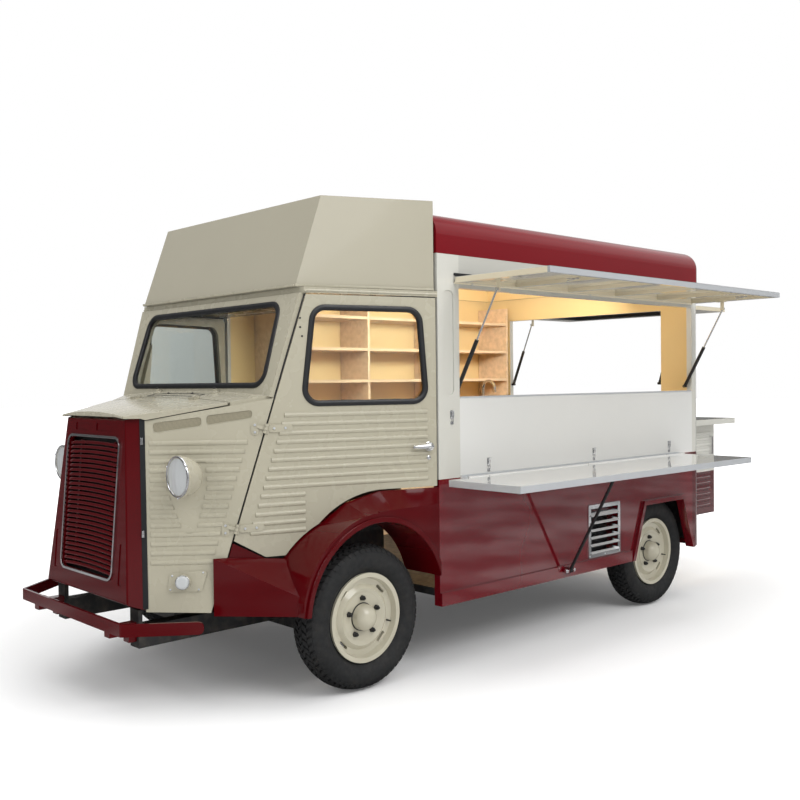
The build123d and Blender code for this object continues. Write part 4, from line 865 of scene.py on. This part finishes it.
for side, sign in SIDES:
    rim, dish, ring = Bits(), Bits(), Bits()
    wing = wing_flat.on(sign)
    centre = wing(LAMP_U, LAMP_W, LAMP_RISE)
    ahead = Vector((0, -1, 0))
    rim.tube([centre + ahead * -0.002 + clock(t, 0.0905) for t in circle(40)], 0.0062, 10, True)
    for turn in circle(3):
        rim.turned(centre + clock(turn + 0.6, 0.0965), ahead, RIM_CLIP, 10)
    rim.tube([wing(SIDELIGHT_U + 31 * math.cos(t), SIDELIGHT_W + 31 * math.sin(t), 35.5) for t in circle(40)],
             0.0022, 8, True)
    rim.make(f"lamp_rim_{side}", "chassis", chrome)
    dish.turned(centre + ahead * -0.01395, ahead, ((0, 0.0832), (0.0001, 0.0832)), 40)
    dish.turned(wing(SIDELIGHT_U, SIDELIGHT_W, 35.35), wing.normal(), ((0, 0.0298), (0.0001, 0.0298)), 30)
    dish.make(f"lamp_reflector_{side}", "chassis", lamp_silver)
    for z in TAIL_ZS:
        spot = at(sign * TAIL_X, TAIL_Y + 4, z)
        ring.tube([spot + clock(t, 0.0435) for t in circle(40)], 0.0035, 8, True)
    ring.make(f"tail_rings_{side}", "chassis", rubber)

# Nose catches
catch = Bits()
for side, sign in SIDES:
    side_out = Vector((sign * 0.78, -0.62, 0.06))
    for z, x, y in ((818, 421, -925), (1240, 375, -901)):
        catch.bar(at(sign * x, y, z - 16), at(sign * x, y, z + 16), side_out, 0.011, 0.006)
catch.make("nose_catches", "chassis", chrome, bevel=0.001)

# Sign box foot rail and cab gutters
RAIL_Z = 1968
rail = Bits()


def foot_rail(first, last, outward):
    outward = outward.normalized()
    rail.bar(first - outward * 0.003, last - outward * 0.003, outward, 0.012, 0.009)


foot_rail(at(-737, -283, RAIL_Z), at(737, -283, RAIL_Z), Vector((0, -1, 0)))
for side, sign in SIDES:
    foot_rail(at(sign * 737, -283, RAIL_Z), at(sign * 978, 411, RAIL_Z), Vector((sign * 694, -241, 0)))
rail.make("sign_rail", "chassis", cab_cream, bevel=0.002)
gutter = Bits()
for side, sign in SIDES:
    path = ((777, -256, 1938), (780, -246, 1944), (983, 426, 1944))
    gutter.tube([at(sign * x, y, z) for x, y, z in path], 0.0065, 8)
gutter.make("cab_gutters", "chassis", cab_cream)

# Serving side: aluminium strips, rubber over the hatch, latches, stay knobs and the back of the vent
SHELF_X, SHELF_Z, SHELF_FRONT_Y, SHELF_REAR_Y = 1505, 983, 450, 2715
HATCH_FRONT_Y, HATCH_REAR_Y = 553, 2889
STRIP_THICK = 1.6
STAY_X, STAY_Y, STAY_Z = 1022, 1470.5, 392
KNOB = ((-0.001, 0.009), (0.004, 0.009), (0.006, 0.013), (0.014, 0.0135), (0.019, 0.01), (0.021, 0.005))
side_flat = Flat((SIDE_X, 0, 0), (0, 1, 0), (1, 0, 0))
hatch_under = Flat((0, 0, HATCH_UNDER_Z), (0, 1, 0), (0, 0, -1))
hatch_top = Flat((0, 0, HATCH_TOP_Z), (0, -1, 0), (0, 0, 1))
shelf_front = Flat((SHELF_X, 0, 0), (0, 1, 0), (1, 0, 0))
strip = Bits()
strip.ribbon(side_flat, [(593, 1006), (2712, 1006)], 13, 8, 8 + STRIP_THICK)
strip.ribbon(side_flat, [(593, 1417), (2895, 1417)], 10, 0, STRIP_THICK)
strip.make("panel_strips", "chassis", aluminium, bevel=0.0005)
edge = Bits()
edge.ribbon(shelf_front, [(SHELF_FRONT_Y, SHELF_Z), (SHELF_REAR_Y, SHELF_Z)], 35, 0, STRIP_THICK)
for y, out in ((SHELF_FRONT_Y, -1), (SHELF_REAR_Y, 1)):
    shelf_end = Flat((0, y, 0), (-out, 0, 0), (0, out, 0))
    edge.ribbon(shelf_end, [(-1040 * out, SHELF_Z), (-SHELF_X * out, SHELF_Z)], 35, 0, STRIP_THICK)
edge.make("shelf_edge", "counter_shelf", aluminium, bevel=0.0005)
over = Bits()
over.ribbon(side_flat, [(552, 2054), (2890, 2054)], 14, 0, 8)
over.make("hatch_gutter", "chassis", rubber, bevel=0.001)
band = Bits()
for x, wide, thick in ((1010, 22, 3), (1600, 14, 2)):
    band.ribbon(hatch_top, [(-HATCH_FRONT_Y, x), (-HATCH_REAR_Y, x)], wide, 0, thick)
band.make("hatch_band", "hatch", rubber, bevel=0.0008)
pillar_latch = Bits()
pillar_latch.latch(side_flat, 528, 1330)
pillar_latch.make("pillar_latch", "chassis", chrome, bevel=0.0005)
panel_latches = Bits()
for y in (809, 1761, 2602):
    panel_latches.latch(side_flat, y, 1068)
panel_latches.make("panel_latches", "chassis", chrome, bevel=0.0005)
hatch_latches = Bits()
for y in (860, 2580):
    hatch_latches.latch(hatch_under, y, 1500, -1)
hatch_latches.make("hatch_latches", "hatch", chrome, bevel=0.0005)
knob = Bits()
for out in (-1, 1):
    knob.turned(at(STAY_X, STAY_Y + out * 22, STAY_Z), Vector((0, out, 0)), KNOB, 18)
knob.make("stay_knobs", "chassis", chrome)
# Back of the side vent: a plate of the near-black mesh, whose dark holes are painted shade.
back = Bits()
back.prism(side_flat, [(1730, 455), (2000, 455), (2000, 715), (1730, 715)], 6, -39, -37, 0.5)
back.make("vent_back", "chassis", dark_core)
vent_screws = Bits()
for y in (1712, 1865, 2018):
    for z in (437, 733):
        vent_screws.turned(side_flat(y, z, 5), side_flat.normal(),
                           ((-0.001, 0.005), (0.0015, 0.0045), (0.0025, 0.002)), 10)
vent_screws.make("vent_screws", "chassis", aluminium)

# Rear half doors: a pull on each
PULL_Y = 3655
for side, sign in SIDES:
    pull = Bits()
    pull.tube([at(sign * x, PULL_Y, z) for x, z in ((694, 930), (718, 930), (718, 1060), (694, 1060))], 0.007)
    pull.make(f"rear_pull_{side}", f"rear_door_{side}", chrome)

# Seats: stuffed cushions on plain frames, in place of the drawn blocks
SEAT_X = 497.5
SEAT_CORNERS = [(-205, -218), (205, -218), (205, 128), (-205, 128)]
SEAT_RISES = ((766, 22), (770, 5), (790, 0), (836, 0), (858, 10), (868, 40), (870, 90))
BACK_CORNERS = [(-204, -228), (204, -228), (204, 228), (-204, 228)]
BACK_RISES = ((2, 26), (8, 6), (30, 0), (62, 2), (84, 18), (94, 60), (96, 110))
cushions, frames = Bits(), Bits()


def cushion(flat, corners, radius, rises):
    """A crowned cushion: rises are (height off the flat, inset of the outline there) in millimetres."""
    outline = rounded(corners, radius, 4)
    cushions.loft([[flat(p.x - out.x * inset, p.y - out.y * inset, rise) for p, out in outline]
                   for rise, inset in rises])


for side, sign in SIDES:
    base = Flat((sign * SEAT_X, 180, 0), (1, 0, 0), (0, 0, 1))
    cushion(base, SEAT_CORNERS, 55, SEAT_RISES)
    cushion(Flat((sign * SEAT_X, 409, 1100), (1, 0, 0), (0, -1, 0)), BACK_CORNERS, 70, BACK_RISES)
    frames.prism(base, [(-190, -190), (190, -190), (190, 190), (-190, 190)], 30, 745.6, 770, 6)
    for x in (-150, 150):
        frames.bar(base(x, 180, 752), base(x, 200, 1150), Vector((0, 1, 0)), 0.03, 0.004)
made = cushions.make("seat_cushions", "chassis", seat_cover)
smooth = made.modifiers.new("stuffed", "SUBSURF")
smooth.levels = smooth.render_levels = 2
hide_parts("seats")
frames.make("seat_frames", "chassis", under_black)

# Floor: white where the camera sees it far off, and patches of grey in what reflects it
FLOOR_HALF, FLOOR_Z = 60, -0.0005
WHITE = (1.0, 1.0, 1.0, 1.0)
floor_mesh = bpy.data.meshes.new("floor")
floor_corners = [(x * FLOOR_HALF, y * FLOOR_HALF, FLOOR_Z) for x, y in ((-1, -1), (1, -1), (1, 1), (-1, 1))]
floor_mesh.from_pydata(floor_corners, [], [(0, 1, 2, 3)])
floor = bpy.data.objects.new("floor", floor_mesh)
bpy.context.scene.collection.objects.link(floor)
pale = Maker("pale_floor")
ray = pale.add("ShaderNodeLightPath").outputs
tone = pale.mix(pale.noise(0.6), srgb(246, 246, 246), srgb(250, 250, 250))
patch = pale.remap(pale.noise(1.1, 2.0), 0.0, 1.0, 0.42, 0.6)
mirrored = pale.mix(patch, srgb(104, 104, 104), srgb(200, 200, 200))
pale.feed("Base Color", pale.mix(ray["Is Glossy Ray"], tone, mirrored))
reach = pale.add("ShaderNodeVectorMath", operation="LENGTH")
pale.link(pale.place, reach.inputs[0])
glow = pale.remap(reach.outputs["Value"], 0.06, 0.9, 2.7, 6.0)
pale.feed("Emission Strength", pale.math("MULTIPLY", glow, ray["Is Camera Ray"]))
pale.set(Emission_Color=WHITE, Roughness=0.9, Specular_IOR_Level=0.1)
floor_mesh.materials.append(pale.material)
floor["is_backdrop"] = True

# World: white to the camera and through glass, dimmer as light, and a patchy room, darker ahead of the
# truck, in what reflects it
world = bpy.data.worlds.new("studio")
bpy.context.scene.world = world
world.use_nodes = True
sky = Nodes(world.node_tree, "Generated")
background = sky.tree.nodes["Background"]
ray = sky.add("ShaderNodeLightPath").outputs
straight = sky.math("MAXIMUM", ray["Is Camera Ray"], ray["Is Transmission Ray"])
level = sky.remap(straight, 0.62, 1.0, 0.0, 1.0)
patches = sky.remap(sky.noise(1.7, 1.5), 0.14, 0.95, 0.42, 0.62)
dimmed = sky.math("MULTIPLY", patches, sky.remap(sky.axes()["Y"], 0.25, 1.0, -0.85, 0.0))
strength = sky.add("ShaderNodeMix")
for socket, value in (("Factor", ray["Is Glossy Ray"]), ("A", level), ("B", dimmed)):
    sky.link(value, strength.inputs[socket])
sky.link(strength.outputs["Result"], background.inputs["Strength"])
background.inputs["Color"].default_value = WHITE


def softbox(name, place, target, size, power, mirrored=True):
    """An area light that no camera sees. mirrored is whether paint and glass reflect it."""
    light = bpy.data.lights.new(name, "AREA")
    light.shape = "RECTANGLE"
    light.size, light.size_y = size
    light.energy = power
    obj = bpy.data.objects.new(name, light)
    bpy.context.scene.collection.objects.link(obj)
    obj.location = place
    obj.rotation_euler = (Vector(target) - Vector(place)).to_track_quat("-Z", "Y").to_euler()
    obj.visible_camera = obj.visible_transmission = False
    obj.visible_glossy = mirrored


softbox("key", (6.5, -0.6, 6.0), (0, 0.6, 1), (5, 4), 310)
softbox("top", (0, 0, 8.0), (0, 0, 0), (7, 8), 380)
softbox("fill", (0.5, -8.5, 5.0), (0, -1.5, 1), (4, 3), 130)
softbox("inside", at(480, 1700, 2040), at(-700, 1700, 1450), (1.8, 0.22), 25, False)
softbox("inside_rear", at(300, 900, 1980), at(300, 2950, 1700), (1.0, 0.3), 15, False)
softbox("cab", at(0, 120, 1915), at(0, 120, 900), (0.8, 0.4), 12, False)

# Camera, as fitted to the photograph
EYE = (4.127, -4.4165, 1.502)
YAW, PITCH, ROLL = 0.819, -0.019, -0.011
FOCAL_PIXELS, PICTURE_PIXELS = 962, 800
camera_data = bpy.data.cameras.new("camera")
camera = bpy.data.objects.new("camera", camera_data)
bpy.context.scene.collection.objects.link(camera)
bpy.context.scene.camera = camera
camera_data.sensor_width = 36
camera_data.lens = camera_data.sensor_width * FOCAL_PIXELS / PICTURE_PIXELS
look = Vector((-math.sin(YAW) * math.cos(PITCH), math.cos(YAW) * math.cos(PITCH), math.sin(PITCH)))
right = look.cross(Vector((0, 0, 1))).normalized()
lift = right.cross(look)
right, lift = right * math.cos(ROLL) + lift * math.sin(ROLL), lift * math.cos(ROLL) - right * math.sin(ROLL)
camera.matrix_world = Matrix.Translation(EYE) @ Matrix((right, lift, -look)).transposed().to_4x4()

bpy.context.scene.view_settings.view_transform = "Standard"

low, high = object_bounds()
